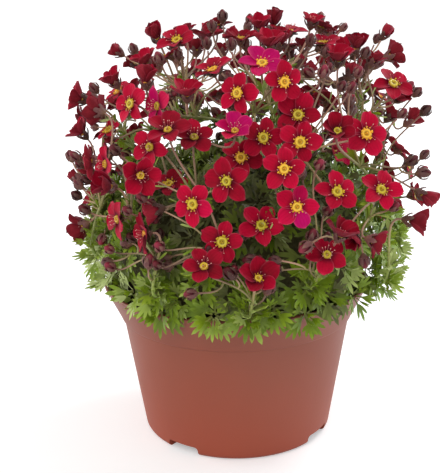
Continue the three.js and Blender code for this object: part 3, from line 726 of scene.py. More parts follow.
def seat(head, back):
    """Seats a head on the first site and fork that reach it clear of all the others, if any does."""
    is_bud = head["kind"] == "bud"
    for step in FIT["steps"]:
        place = head["place"] + back * step
        way = unit(place - cushion_centre)
        choices = []
        for index, site in enumerate(sites):
            has_room = site["flowers"] < FIT["flowers"]
            if is_bud:
                has_room = site["flowers"] > 0 and site["buds"] < FIT["buds"]
            angle = math.acos(max(-1.0, min(1.0, site["direction"] @ way)))
            if has_room and angle < FIT["widest"]:
                choices.append((angle + FIT["fullness"] * len(site["stems"]), index))
        for _, index in sorted(choices):
            site = sites[index]
            for fork in FIT["forks"] if site["stems"] else (0,):
                moved = {**head, "place": place, "from": site["out"]}
                curve = stalk_to(moved, site, fork)
                balls = head_balls(moved) + stalk_balls(curve, steps_of(moved, not site["stems"]))
                is_over = all(
                    height_over_cushion(np.array(ball[:3])) > FIT["stalk_over" if ball[4] else "head_over"]
                    for ball in balls
                )
                if is_over and is_clear(np.array(balls), index):
                    take(balls, index, site, {"head": moved, "curve": curve, "fork": fork})
                    site["buds" if is_bud else "flowers"] += 1
                    return


growth = draws(GROWTH_SEED)


def flower_head(place, out, openness):
    spin = next(growth) * 2 * math.pi
    radius = BLOOM["radius"] * (1 + BLOOM["uneven_radius"] * (2 * next(growth) - 1))
    return {"kind": "flower", "place": place, "out": out, "open": openness, "spin": spin, "radius": radius}


def bud_head(place):
    return {"kind": "bud", "place": place, "out": unit(dome_facing(place) + UP * BUD["lift"])}


def far_places(count, start=FAR_SIDE["from"]):
    """Places over the far side of the dome, from so far behind its middle."""
    places = []
    for direction in spread(count * 2, FAR_SIDE["lowest"], FAR_SIDE["highest"], 1):
        reach = dome_level(DOME["middle"] + direction) ** (-1 / DOME["power"])
        places.append(DOME["middle"] + direction * reach)
    return [place for place in places if place[1] > start]


for px, py, turn, tilt, openness, back in FLOWERS_SEEN:
    sight = sight_of(px, py)
    head = flower_head(meet_dome(sight) + sight * back, facing(turn, tilt), openness)
    seat({**head, "seen": (px, py)}, sight)
for place in far_places(FAR_SIDE["flowers"]):
    outward = dome_facing(place)
    out = outward.copy()
    out[0] += FAR_SIDE["aside"] * (next(growth) - 0.5)
    out[2] += FAR_SIDE["upward"] * next(growth)
    openness = FAR_SIDE["most_open"] - FAR_SIDE["closing"] * next(growth) ** 2
    seat(flower_head(place - outward * FAR_SIDE["inset"], unit(out), openness), -outward)
for px, py, back in BUDS_SEEN:
    sight = sight_of(px, py)
    seat(bud_head(meet_dome(sight) + sight * back), sight)
for place in far_places(FAR_SIDE["buds"]):
    outward = dome_facing(place)
    seat(bud_head(place + outward * FAR_SIDE["bud_height"]), -outward)


def heads_of(kind):
    return [stem["head"] for site in sites for stem in site["stems"] if stem["head"]["kind"] == kind]


# How much of its radius an open flower's face takes up.
FACE_SHARE = 0.9


def hides_flower(place, heads):
    """Whether a place is in front of an open flower, seen along the flower or from the camera."""
    for head in heads:
        offset = place - head["place"]
        for way in (head["out"], unit(EYE - head["place"])):
            ahead = offset @ way
            if ahead > 0 and np.linalg.norm(offset - way * ahead) < head["radius"] * FACE_SHARE:
                return True
    return False


# Later flowers are smaller, and stand in the gaps between the others: at the back, on top and at the
# sides, but not low in front, and fewer at the right.
LATE = {
    "places": 330,
    "from": -60.0,
    "inset": (0, 12),
    "lean": ((-0.4, -0.4, 0.1), (0.4, 0.4, 0.9)),
    "radius": (6.4, 8.2),
    "open": (0.35, 0.95),
    "fork": (0.4, 0.7),
    "margin": 7,
    "behind": -25,
    "left": -30,
    "front": 20,
    "low": 112,
    "right": 58,
    "left_out": 0.55,
    "seed": 12,
}
late_random = np.random.default_rng(LATE["seed"])
main_flowers = heads_of("flower")
for place in far_places(LATE["places"], LATE["from"]):
    outward = dome_facing(place)
    place = place - outward * late_random.uniform(*LATE["inset"])
    way = unit(place - cushion_centre)
    site = max((site for site in sites if site["stems"]), key=lambda site: site["direction"] @ way)
    head = {
        "kind": "flower",
        "place": place,
        "out": unit(outward + late_random.uniform(*LATE["lean"])),
        "from": site["out"],
        "open": late_random.uniform(*LATE["open"]),
        "spin": late_random.uniform(0, 2 * math.pi),
        "radius": late_random.uniform(*LATE["radius"]),
    }
    balls = np.array(head_balls(head))
    fork = late_random.uniform(*LATE["fork"])
    x, y, z = place
    is_inside = np.all(place > cad_low + LATE["margin"]) and np.all(place < cad_high - LATE["margin"])
    is_behind = y > LATE["behind"] or (x < LATE["left"] and not hides_flower(place, main_flowers))
    is_bare = y < LATE["front"] and (
        z < LATE["low"] or (x > LATE["right"] and late_random.uniform() < LATE["left_out"])
    )
    if is_inside and is_behind and not is_bare and is_clear(balls, -1):
        take(balls, -1, site, {"head": head, "curve": stalk_to(head, site, fork), "fork": fork})

stems = [
    {**stem, "site": site, "is_lead": k == 0} for site in sites for k, stem in enumerate(site["stems"])
]
flowers, buds = heads_of("flower"), heads_of("bud")

# The root stock and the old growth
# Under the living leaves the shoots of past years are packed into a dark bush, which stands on a
# short woody root stock in the compost. Only its shade shows between the leaves.
ROOT = [(0, 60.2), (6.88, 60.2), (8.6, 62.0), (8.6, 70.6)]
OLD_GROWTH = {"inset": 9.0, "neck": 71.3, "foot": [(50.0, 71.3), (57.0, 78.0)], "sides": 72, "rings": 22}
UNEVEN = {"percent": 1.6, "seed": 3}
OLD_COLOURS = ((0.05, 0.044, 0.018, 1), (0.15, 0.135, 0.05, 1))

old_profile = ROOT + OLD_GROWTH["foot"]
for k in range(OLD_GROWTH["rings"] + 1):
    angle = k / OLD_GROWTH["rings"] * math.pi / 2
    way = np.array([math.cos(angle), 0.0, math.sin(angle)])
    reach = cushion_reach(way) - OLD_GROWTH["inset"]
    is_top = k == OLD_GROWTH["rings"]
    old_profile.append((0 if is_top else reach * way[0], CUSHION["z"] + reach * way[2]))
points, faces = lathe(old_profile, OLD_GROWTH["sides"])
is_bush = points[:, 2] > OLD_GROWTH["neck"] + 1
uneven = np.random.default_rng(UNEVEN["seed"]).uniform(-1, 1, (is_bush.sum(), 1))
points[is_bush] *= 1 + uneven * UNEVEN["percent"] / 100
points[:, 0] += CUSHION["x"]
old_growth = add_object("old_growth", add_mesh("old_growth", points, faces))

old_finish, tree, shader = add_finish("old_shoots", roughness=0.9, specular_ior_level=0.2)
tangle = noise(tree, scale=260, detail=5, roughness=0.7)
paint(tree, shader, mix_colours(tree, tangle, *OLD_COLOURS))
add_bump(tree, shader, tangle, strength=0.9, distance=0.002)
old_growth.data.materials.append(old_finish)
set_piece(old_growth, "leaves", "leaf_cushion")

# The leaf rosettes
# Small fleshy leaves, cut into three to five pointed lobes, stand round the tip of each shoot: the
# outer ones lie out flat on thin stalks, and the inner ones are short and stand up.
LEAF = {
    "groove": 0.16,
    "thickness": 0.45,
    "sharp": 60,
    "lobe_shares": np.array([0, 0.36, 0.76, 1]),
    "lobe_halves": np.array([0.82, 1.03, 0.84, 0]),
    "stalk_shares": np.array([0, 0.14, 0.27, 0.36, 0.44, 0.54, 0.66]),
    "stalk_halves": np.array([0.7, 0.42, 0.5, 0, 0, 0, 0]),
    "palm_halves": np.array([0, 0, 0, 0.6, 1, 0.72, 0]),
    "lobe_start": 0.4,
    "lobe_back": 0.05,
    "lobe_aside": 0.55,
    "lobe_lift": 0.02,
}
ROSETTES = {
    "filling": 150,
    "apart": 7.5,
    "leaves": (10, 14),
    "lowest": -9.0,
    "seed": 21,
    "reaches": {"left": 3.0, "right": 5.0},
    "lifts": {"left": 8.0, "right": 6.5},
    "outer_raise": 6,
    "inner_raise": 66,
    "raise_power": 1.2,
    "uneven_raise": 9,
    "depth": -3.0,
    "rise": 4.5,
    "leaf": 14.0,
    "longest": 0.94,
    "shorter": 0.36,
    "uneven_length": (0.88, 1.12),
    "young_from": 0.75,
    "side_size": 0.1,
    "front_size": 0.1,
    "front_facing": -0.5,
    "front_below": 86,
    "twist": 12,
}
BARE_RIM = {"start": -57.0, "end": -41.0, "height": 79.5, "slope": 1.1, "step": 12, "most": 78}
RIM_ROSETTES = {
    "count": 34,
    "uneven": 0.3,
    "radius": 57.0,
    "height": 75.5,
    "raise": 35,
    "leaves": 6,
    "size": (0.7, 0.85),
}
SHOOTS = {"shares": (0.13, 0.27, 0.4), "leaves": (7, 6, 5), "sizes": (0.9, 0.75, 0.62)}
# Leaves are pale towards both sides of the plant, and darker high up, where painted shade stands for
# the shadow that the flowers cast on them.
LEAF_TINT = {
    "middle": 0.43,
    "rosette": (-0.24, 0.3),
    "leaf": (-0.22, 0.26),
    "young": 0.15,
    "pale": 0.6,
    "pale_middle": 5,
    "pale_reach": 60,
    "pale_from": 0.5,
    "painted_shade_low": 92.0,
    "painted_shade_high": 112.0,
    "painted_shade": 0.34,
}


def blade(centres, ways, ups, halves):
    """A closed leaf blade along a line: two edges, a sunken rib on top and a keel, and a pointed tip."""
    centres, ways, ups = (np.asarray(v, float) for v in (centres, ways, ups))
    sides = np.cross(ups, ways)
    halves = np.asarray(halves, float)[:, None]
    body = slice(0, len(centres) - 1)
    ribs = centres[body] - ups[body] * LEAF["groove"] * np.minimum(halves[body], 1)
    keels = ribs - ups[body] * LEAF["thickness"] * np.minimum(halves[body], 1)
    left = centres[body] + sides[body] * halves[body]
    right = centres[body] - sides[body] * halves[body]
    points = np.stack([left, ribs, right, keels], 1).reshape(-1, 3)
    tip = len(points)
    faces = [(0, 1, 2, 3)]
    for a in range(0, tip - 4, 4):
        b = a + 4
        faces += [(a + 1, b + 1, b, a), (a + 2, b + 2, b + 1, a + 1)]
        faces += [(a, b, b + 3, a + 3), (a + 3, b + 3, b + 2, a + 2)]
    a = tip - 4
    faces += [(a + 1, tip, a), (a + 2, tip, a + 1), (a, tip, a + 3), (a + 3, tip, a + 2)]
    return np.vstack([points, centres[-1:]]), faces


def join_shapes(shapes):
    """Several shapes as one list of points and one of faces."""
    points, faces, start = [], [], 0
    for some_points, some_faces in shapes:
        points.append(some_points)
        faces += [tuple(start + i for i in face) for face in some_faces]
        start += len(some_points)
    return np.vstack(points), faces


def add_field(mesh, name, values, kind="FLOAT"):
    """A value for each point of a mesh, which a tree or a material reads by name."""
    data = mesh.attributes.new(name, kind, "POINT").data
    key = "vector" if kind == "FLOAT_VECTOR" else "value"
    data.foreach_set(key, np.asarray(values, float if kind != "INT" else np.int32).ravel())


def edged_mesh(name, points, faces, **fields):
    """A mesh with sharp edges where it folds, and its fields."""
    mesh = add_mesh(name, points, faces)
    mesh.set_sharp_from_angle(angle=math.radians(LEAF["sharp"]))
    for key, values in fields.items():
        add_field(mesh, key, values)
    return mesh


def lobe(start, angle, swing, length, half):
    """A level oblong lobe with a short point, at an angle that swings on the way, in degrees."""
    shares = LEAF["lobe_shares"]
    turns = np.radians(angle + swing * shares)
    ways = np.stack([np.cos(turns), np.sin(turns), np.zeros(len(shares))], 1)
    steps = np.cumsum(ways[:-1] * np.diff(shares)[:, None], 0)
    centres = np.array(start) + np.vstack([[0, 0, 0], steps]) * length
    return blade(centres, ways, [UP] * len(shares), half * LEAF["lobe_halves"])


def leaf_shape(name, length, palm, arch, cup, lobes):
    """A leaf along +X: its stalk and palm, with lobes given as angle, swing, length and half width."""
    centres = np.outer(LEAF["stalk_shares"] * length, [1.0, 0, 0])
    halves = LEAF["stalk_halves"] + LEAF["palm_halves"] * palm
    shapes = [blade(centres, [[1, 0, 0]] * len(halves), [UP] * len(halves), halves)]
    for angle, swing, reach, half in lobes:
        turn = math.radians(angle)
        ahead = length * (LEAF["lobe_start"] - LEAF["lobe_back"] * abs(math.sin(turn)))
        start = (ahead, palm * LEAF["lobe_aside"] * math.sin(turn), LEAF["lobe_lift"])
        shapes.append(lobe(start, angle, swing, reach * length, half))
    points, faces = join_shapes(shapes)
    share = points[:, 0] / length
    points[:, 2] += arch * length * share**2 + cup * np.abs(points[:, 1])
    return edged_mesh(name, points, faces, along=share)


def turn_to(x_way, z_way):
    """The quaternion that turns a shape's +X and +Z to two directions square to each other."""
    columns = np.column_stack([x_way, np.cross(z_way, x_way), z_way])
    return tuple(Matrix(columns.tolist()).to_quaternion())


# The tree that sets copies on points: each takes its shape, turn, size and tint from its point, and
# is twisted a little about its own length by a random share.
copies_tree, given, result = add_tree(
    "set_copies",
    {"Spots": "Geometry", "Shapes": "Collection", "Twist": "Float", "Seed": "Int", "Finish": "Material"},
)


def read_field(tree, name, kind):
    made = add_node(tree, "GeometryNodeInputNamedAttribute", {"Name": name}, data_type=kind)
    return next(socket for socket in made.outputs if socket.enabled and socket.name == "Attribute")


shapes = add_node(
    copies_tree,
    "GeometryNodeCollectionInfo",
    {"Collection": given["Shapes"], "Separate Children": True, "Reset Children": True},
)
chance = add_node(
    copies_tree, "FunctionNodeRandomValue", {2: -1.0, 3: 1.0, "Seed": given["Seed"]}, data_type="FLOAT"
).outputs[1]
twist = add_node(
    copies_tree, "ShaderNodeCombineXYZ", {0: math_node(copies_tree, "MULTIPLY", chance, given["Twist"])}
).outputs[0]
twisted = add_node(
    copies_tree,
    "FunctionNodeRotateRotation",
    {
        0: read_field(copies_tree, "turn", "QUATERNION"),
        1: add_node(copies_tree, "FunctionNodeEulerToRotation", {0: twist}).outputs[0],
    },
    rotation_space="LOCAL",
)
copies = add_node(
    copies_tree,
    "GeometryNodeInstanceOnPoints",
    {
        "Points": given["Spots"],
        "Instance": shapes.outputs[0],
        "Pick Instance": True,
        "Instance Index": read_field(copies_tree, "kind", "INT"),
        "Rotation": twisted.outputs[0],
        "Scale": read_field(copies_tree, "size", "FLOAT_VECTOR"),
    },
)
copies_tree.links.new(realised(copies_tree, copies.outputs[0], given["Finish"]), result[0])


def set_copies(name, rows, meshes, finish, twist=0, seed=0):
    """Copies of the meshes, one for each row of place, quaternion, size, kind and tint."""
    places, turns, sizes, kinds, tints = zip(*rows)
    spots = bpy.data.meshes.new(name)
    spots.from_pydata((np.array(places) * MM).tolist(), [], [])
    add_field(spots, "turn", turns, "QUATERNION")
    add_field(spots, "size", [(size,) * 3 for size in sizes], "FLOAT_VECTOR")
    add_field(spots, "kind", kinds, "INT")
    add_field(spots, "tint", tints)
    shapes = bpy.data.collections.new(name + "_shapes")
    bpy.context.scene.collection.children.link(shapes)
    for k, mesh in enumerate(meshes):
        shapes.objects.link(bpy.data.objects.new(f"{name}_shape_{k:02d}", mesh))
    values = {"Shapes": shapes, "Twist": math.radians(twist), "Seed": seed, "Finish": finish}
    piece = grow(add_object(name, spots), copies_tree, values)
    for shape in list(shapes.objects):
        bpy.data.objects.remove(shape)
    bpy.data.collections.remove(shapes)
    return piece


leaf_shapes = [
    leaf_shape("leaf_five", length=14.0, palm=1.9, arch=-0.10, cup=0.10, lobes=[
        (0, 0, 0.56, 1.05), (26, -5, 0.51, 0.95), (-26, 5, 0.51, 0.95), (54, -14, 0.42, 0.8),
        (-54, 14, 0.42, 0.8),
    ]),
    leaf_shape("leaf_five_wide", length=13.5, palm=2.0, arch=-0.18, cup=0.05, lobes=[
        (4, 0, 0.56, 1.05), (35, -8, 0.50, 0.92), (-26, 5, 0.52, 0.98), (66, -18, 0.4, 0.78),
        (-56, 12, 0.43, 0.8),
    ]),
    leaf_shape("leaf_five_raised", length=13.5, palm=1.85, arch=0.06, cup=0.16, lobes=[
        (-3, 2, 0.57, 0.98), (25, -4, 0.50, 0.9), (-31, 8, 0.48, 0.95), (52, -10, 0.40, 0.76),
        (-60, 16, 0.36, 0.76),
    ]),
    leaf_shape("leaf_three", length=14.0, palm=1.7, arch=-0.06, cup=0.12, lobes=[
        (0, 0, 0.59, 1.15), (30, -10, 0.50, 1.0), (-30, 10, 0.50, 1.0),
    ]),
    leaf_shape("leaf_three_drooping", length=14.5, palm=1.75, arch=-0.28, cup=0.02, lobes=[
        (3, -3, 0.59, 1.15), (34, -10, 0.50, 0.96), (-29, 8, 0.47, 1.0),
    ]),
    leaf_shape("leaf_young", length=11.5, palm=1.4, arch=0.12, cup=0.22, lobes=[
        (0, 0, 0.58, 0.95), (23, -4, 0.48, 0.8), (-23, 4, 0.48, 0.8),
    ]),
]
YOUNG_LEAF = len(leaf_shapes) - 1

leaf_random = np.random.default_rng(ROSETTES["seed"])


def hangs_over_left_rim(tip):
    """Whether a leaf's tip hangs over the pot's rim at the left, which stays bare on this plant."""
    limit = BARE_RIM["height"] - BARE_RIM["slope"] * max(tip[0] - BARE_RIM["start"], 0)
    return tip[0] < BARE_RIM["end"] and tip[2] < limit


def rosette_rows(out, middle, count, size):
    """The leaves of one rosette, from the outermost, which lie low, to the young ones inside."""
    rows = []
    sides = square_to(out)
    start = leaf_random.uniform(0, 2 * math.pi)
    shade = leaf_random.uniform(*LEAF_TINT["rosette"])
    for j in range(count):
        share = j / (count - 1)
        angle = start + math.radians(GOLDEN_ANGLE) * j
        raised = ROSETTES["outer_raise"] + ROSETTES["inner_raise"] * share ** ROSETTES["raise_power"]
        raised += leaf_random.uniform(-ROSETTES["uneven_raise"], ROSETTES["uneven_raise"])
        length = size * (ROSETTES["longest"] - ROSETTES["shorter"] * share)
        length *= leaf_random.uniform(*ROSETTES["uneven_length"])
        radial, way, top = ways_round(out, sides, angle, math.radians(raised))
        place = middle + out * (ROSETTES["depth"] + ROSETTES["rise"] * share) + radial
        while raised < BARE_RIM["most"] and hangs_over_left_rim(place + way * ROSETTES["leaf"] * length):
            raised += BARE_RIM["step"]
            _, way, top = ways_round(out, sides, angle, math.radians(raised))
        is_young = share > ROSETTES["young_from"]
        kind = YOUNG_LEAF if is_young else int(leaf_random.integers(YOUNG_LEAF))
        aside = abs(place[0] - LEAF_TINT["pale_middle"]) / LEAF_TINT["pale_reach"]
        pale = LEAF_TINT["pale"] * np.clip(aside - LEAF_TINT["pale_from"], 0, 1)
        tint = LEAF_TINT["middle"] + shade + pale + leaf_random.uniform(*LEAF_TINT["leaf"])
        tint += LEAF_TINT["young"] * (share - 0.5)
        # Painted shade: leaves high up, under the flowers, get a lower tint and so a darker colour.
        low, high = LEAF_TINT["painted_shade_low"], LEAF_TINT["painted_shade_high"]
        tint -= LEAF_TINT["painted_shade"] * np.clip((place[2] - low) / (high - low), 0, 1)
        if not hangs_over_left_rim(place + way * ROSETTES["leaf"] * length):
            rows.append((place, turn_to(way, top), length, kind, np.clip(tint, 0, 1)))
    return rows


leaf_sites = list(sites)
for direction in spread(ROSETTES["filling"], ROSETTES["lowest"], 90, SITES["crowding"]):
    site = site_at(direction)
    if all(np.linalg.norm(site["place"] - other["place"]) > ROSETTES["apart"] for other in leaf_sites):
        leaf_sites.append(site)
leaf_rows = []
for site in leaf_sites:
    out, place = site["out"], site["place"]
    side = out[0] * abs(out[0])
    name = "left" if side < 0 else "right"
    moved = np.array([side * ROSETTES["reaches"][name], 0, abs(side) * ROSETTES["lifts"][name]])
    is_low_front = out[1] < ROSETTES["front_facing"] and place[2] < ROSETTES["front_below"]
    size = 1 + ROSETTES["side_size"] * abs(side) + ROSETTES["front_size"] * is_low_front
    leaf_rows += rosette_rows(out, place + moved, int(leaf_random.integers(*ROSETTES["leaves"])), size)
for k in range(RIM_ROSETTES["count"]):
    uneven = leaf_random.uniform(-RIM_ROSETTES["uneven"], RIM_ROSETTES["uneven"])
    turn = 360 * (k + uneven) / RIM_ROSETTES["count"]
    place = facing(turn, 0) * RIM_ROSETTES["radius"] + UP * RIM_ROSETTES["height"]
    size = leaf_random.uniform(*RIM_ROSETTES["size"])
    leaf_rows += rosette_rows(facing(turn, RIM_ROSETTES["raise"]), place, RIM_ROSETTES["leaves"], size)
for stem in stems:
    if stem["is_lead"]:
        curve = stem["curve"]
        for share, count, size in zip(SHOOTS["shares"], SHOOTS["leaves"], SHOOTS["sizes"]):
            leaf_rows += rosette_rows(bezier_way(curve, share), bezier(curve, share), count, size)


# Brownish olive for leaves of low tint: partly their own varied tone, partly painted shade.
DULL_AND_SHADED_GREEN = (0.37, 0.34, 0.12, 1)
PALE_GREEN = (0.36, 0.43, 0.21, 1)


def tone_group():
    """Darkens, lightens and turns a colour by a tint from 0 to 1 and by fine noise on the piece."""
    group = bpy.data.node_groups.new("living_tone", "ShaderNodeTree")
    group.interface.new_socket("Colour", in_out="INPUT", socket_type="NodeSocketColor")
    for label in ("Tint", "Grain", "Depth", "Turn"):
        group.interface.new_socket(label, in_out="INPUT", socket_type="NodeSocketFloat")
    group.interface.new_socket("Colour", in_out="OUTPUT", socket_type="NodeSocketColor")
    given = group.nodes.new("NodeGroupInput").outputs
    grain = noise(group, scale=given["Grain"], detail=3)
    share = math_node(group, "ADD", math_node(group, "MULTIPLY", grain, 0.5), given["Tint"])
    value = math_node(group, "MULTIPLY_ADD", math_node(group, "SUBTRACT", share, 0.75), given["Depth"], 1.0)
    hue = math_node(group, "SUBTRACT", given["Tint"], 0.5)
    hue = math_node(group, "SUBTRACT", 0.5, math_node(group, "MULTIPLY", hue, given["Turn"]))
    inputs = {"Hue": hue, "Value": value, "Color": given["Colour"]}
    toned = add_node(group, "ShaderNodeHueSaturation", inputs).outputs[0]
    group.links.new(toned, group.nodes.new("NodeGroupOutput").inputs[0])
    return group


living_tone = tone_group()


def attribute(tree, name):
    return add_node(tree, "ShaderNodeAttribute", attribute_name=name).outputs["Fac"]


def paint_toned(tree, shader, colour, grain, depth, turn):
    """Paints a colour that is varied in depth and turned in hue by the piece's own tint."""
    inputs = {"Colour": colour, "Tint": attribute(tree, "tint")}
    inputs |= {"Grain": grain, "Depth": depth, "Turn": turn}
    toned = add_node(tree, "ShaderNodeGroup", inputs, node_tree=living_tone)
    paint(tree, shader, toned.outputs[0])


def ramp(tree, name, *stops):
    """A colour for each share of an attribute, from (share, red, green, blue) stops."""
    made = add_node(tree, "ShaderNodeValToRGB", {0: attribute(tree, name)})
    colours = made.color_ramp.elements
    while len(colours) < len(stops):
        colours.new(0.5)
    for element, (position, *colour) in zip(colours, stops):
        element.position = position
        element.color = (*colour, 1)
    return made.outputs[0]


def toned_finish(name, field, stops, grain, depth, turn=0.01, **values):
    """A finish whose colour follows a field of the piece, and varies with its tint."""
    material, tree, shader = add_finish(name, **values)
    paint_toned(tree, shader, ramp(tree, field, *stops), grain, depth, turn)
    return material


leaf_finish, tree, shader = add_finish("saxifrage_leaf", roughness=0.45, specular_ior_level=0.35)
green = ramp(
    tree,
    "along",
    (0.0, 0.18, 0.19, 0.04),
    (0.35, 0.165, 0.245, 0.011),
    (0.75, 0.205, 0.31, 0.011),
    (1.0, 0.28, 0.37, 0.045),
)
tint = attribute(tree, "tint")
# Low tints turn brownish olive: partly the leaves' own tone, partly painted shade under the flowers.
green = mix_colours(tree, map_range(tree, tint, 0.1, 0.4, 0.7, 0), green, DULL_AND_SHADED_GREEN)
green = mix_colours(tree, map_range(tree, tint, 0.7, 1, 0, 0.75), green, PALE_GREEN)
paint_toned(tree, shader, green, grain=260, depth=1.3, turn=0.035)
add_bump(tree, shader, noise(tree, scale=1500, detail=2), strength=0.25, distance=0.0001)
leaf_rows.sort(key=lambda row: row[0][2])
thirds = np.linspace(0, len(leaf_rows), 4).astype(int)
for name, low, high in zip(("skirt_leaves", "side_leaves", "crown_leaves"), thirds[:-1], thirds[1:]):
    some_leaves = set_copies(
        name, leaf_rows[low:high], leaf_shapes, leaf_finish, ROSETTES["twist"], ROSETTES["seed"]
    )
    set_piece(some_leaves, "leaves", "leaf_cushion")

# The stalks
# Thin round stalks, green at the foot and brownish red towards the flowers, with fine sticky hairs
# all over. A branch grows from its lead where a small leaf stands.
TUBE = {
    "foot": 0.72,
    "top": 0.5,
    "branch": 0.44,
    "swelling": 0.5,
    "swelling_fade": 14,
    "side": 0.4,
    "bud": 0.85,
    "rings": 14,
    "sides": 7,
    "seed": 9,
}
HAIR = {"radius": 0.045, "stalk_length": 0.8, "calyx_length": 1.0, "seed": 9}
HAIR_DENSITY = {"stalk": 240000.0, "calyx": 300000.0}
SIDE_HEADS = {
    "lead_shares": (0.24, 0.33, 0.41, 0.48, 0.55, 0.62, 0.69, 0.76, 0.83, 0.9),
    "branch_shares": (0.3, 0.48, 0.66, 0.84),
    "uneven_share": 0.06,
    "length": (6, 14),
    "outward": 0.6,
    "onward": 0.7,
    "lean": 0.5,
    "flowers": 0.42,
    "kept": 0.35,
    "right": 62,
    "right_kept": 0.5,
    "size": (0.78, 1.12),
    "cup": 2.4,
    "middle": 3,
    "head_length": 8,
    "flower_spread": 3.5,
    "overhang": 1.0,
    "low": 101.0,
    "rise": 48.0,
    "open": (0.1, 0.45),
    "bends": (0.4, 0.35),
    "rings": 6,
    "reddening": (0.55, 0.4),
}

spray_nodes = [name for name in frame["nodes"] if name.startswith("flower_spray")]
line_points, line_edges, widths, rises, tints = [], [], [], [], []
stalk_random = np.random.default_rng(TUBE["seed"])


def add_line(line, width, rise):
    """Adds one stalk to the lines, as a run of points with a width and a rise each."""
    first = len(line_points)
    line_points.extend(line.tolist())
    line_edges.extend((first + i, first + i + 1) for i in range(len(line) - 1))
    widths.extend((width * MM).tolist())
    rises.extend(rise.tolist())
    tints.extend([stalk_random.uniform(0, 1)] * len(line))


for stem in stems:
    shares = np.linspace(0, 1, TUBE["rings"])
    line = bezier(stem["curve"], shares)
    if stem["is_lead"]:
        foot = stem["site"]["place"] + stem["site"]["out"] * (STALK["start"] - STALK["sink"])
        line = np.vstack([foot, line])
        shares = np.concatenate([[0], shares])
        width = TUBE["foot"] + (TUBE["top"] - TUBE["foot"]) * shares
        rise = shares
    else:
        width = TUBE["branch"] * (1 + TUBE["swelling"] * np.exp(-shares * TUBE["swelling_fade"]))
        rise = stem["fork"] + (1 - stem["fork"]) * shares
    add_line(line, width * (TUBE["bud"] if stem["head"]["kind"] == "bud" else 1), rise)

# Young buds and small half-open flowers on short side stalks fill the room between the flowers.
side_heads = []
for stem in stems:
    for share in SIDE_HEADS["lead_shares" if stem["is_lead"] else "branch_shares"]:
        share += stalk_random.uniform(-SIDE_HEADS["uneven_share"], SIDE_HEADS["uneven_share"])
        start = bezier(stem["curve"], share)
        way = bezier_way(stem["curve"], share)
        radial, _, _ = ways_round(way, square_to(way), stalk_random.uniform(0, 2 * math.pi), 0)
        length = stalk_random.uniform(*SIDE_HEADS["length"])
        end = start + radial * length * SIDE_HEADS["outward"] + way * length * SIDE_HEADS["onward"]
        out = unit(way + radial * stalk_random.uniform(0, SIDE_HEADS["lean"]))
        height = (end[2] - SIDE_HEADS["low"]) / SIDE_HEADS["rise"]
        is_flower = stalk_random.uniform() < SIDE_HEADS["flowers"] * min(height, 1)
        side_kept = SIDE_HEADS["right_kept"] if end[0] > SIDE_HEADS["right"] else 1
        is_kept = stalk_random.uniform() <= (SIDE_HEADS["kept"] + height) * side_kept
        size = stalk_random.uniform(*SIDE_HEADS["size"])
        tip = end + out * SIDE_HEADS["head_length"] * size
        beyond = np.maximum(cad_low - tip, tip - cad_high).max()
        beyond += SIDE_HEADS["flower_spread"] * is_flower
        is_beyond = beyond > SIDE_HEADS["overhang"]
        if not is_kept or is_beyond or hides_flower(end + out * SIDE_HEADS["middle"], flowers):
            continue
        rising, arriving = SIDE_HEADS["bends"]
        curve = np.array([start, start + radial * length * rising, end - out * length * arriving, end])
        shares = np.linspace(0, 1, SIDE_HEADS["rings"])
        rise_start, rise_gain = SIDE_HEADS["reddening"]
        width = np.full(SIDE_HEADS["rings"], TUBE["side"])
        add_line(bezier(curve, shares), width, rise_start + rise_gain * shares)
        side_heads.append({
            "place": end + out * SIDE_HEADS["cup"] * size,
            "out": out,
            "size": size,
            "kind": "flower" if is_flower else "bud",
            "open": stalk_random.uniform(*SIDE_HEADS["open"]),
        })
lines = bpy.data.meshes.new("stalks")
lines.from_pydata((np.array(line_points) * MM).tolist(), line_edges, [])
for name, values in (("thickness", widths), ("rise", rises), ("tint", tints)):
    add_field(lines, name, values)

stalks_tree, given, result = add_tree(
    "grow_stalks", {"Lines": "Geometry", "Sides": "Int", "Finish": "Material"}
)
curves = add_node(stalks_tree, "GeometryNodeMeshToCurve", {"Mesh": given["Lines"]})
ring = add_node(
    stalks_tree, "GeometryNodeCurvePrimitiveCircle", {"Resolution": given["Sides"], "Radius": 1.0}
)
tubes = add_node(
    stalks_tree,
    "GeometryNodeCurveToMesh",
    {
        "Curve": curves.outputs[0],
        "Profile Curve": ring.outputs[0],
        "Scale": read_field(stalks_tree, "thickness", "FLOAT"),
        "Fill Caps": True,
    },
)
stalks_tree.links.new(realised(stalks_tree, tubes.outputs[0], given["Finish"]), result[0])

hairs_tree, given, result = add_tree(
    "grow_hairs",
    {
        "Skin": "Geometry",
        "Length": "Float",
        "Radius": "Float",
        "Density": "Float",
        "Seed": "Int",
        "Finish": "Material",
    },
)
spots = add_node(
    hairs_tree,
    "GeometryNodeDistributePointsOnFaces",
    {"Mesh": given["Skin"], "Density": given["Density"], "Seed": given["Seed"]},
)
hair = add_node(
    hairs_tree,
    "GeometryNodeMeshCone",
    {"Vertices": 3, "Radius Top": 0.0, "Radius Bottom": given["Radius"], "Depth": given["Length"]},
)
hairs = add_node(
    hairs_tree,
    "GeometryNodeInstanceOnPoints",
    {
        "Points": spots.outputs["Points"],
        "Instance": hair.outputs[0],
        "Rotation": spots.outputs["Rotation"],
    },
)
hairs = realised(hairs_tree, hairs.outputs[0], given["Finish"])
hairs_tree.links.new(joined(hairs_tree, hairs, given["Skin"]), result[0])

hair_finish = add_finish("stalk_hair", base_color=(0.52, 0.36, 0.28, 1), roughness=0.4)[0]


def set_hairs(piece, length, density):
    """Covers a finished piece with fine hairs of a length in millimetres, so many a square metre."""
    values = {"Length": length * MM, "Radius": HAIR["radius"] * MM, "Density": density}
    grow(piece, hairs_tree, {**values, "Seed": HAIR["seed"], "Finish": hair_finish})


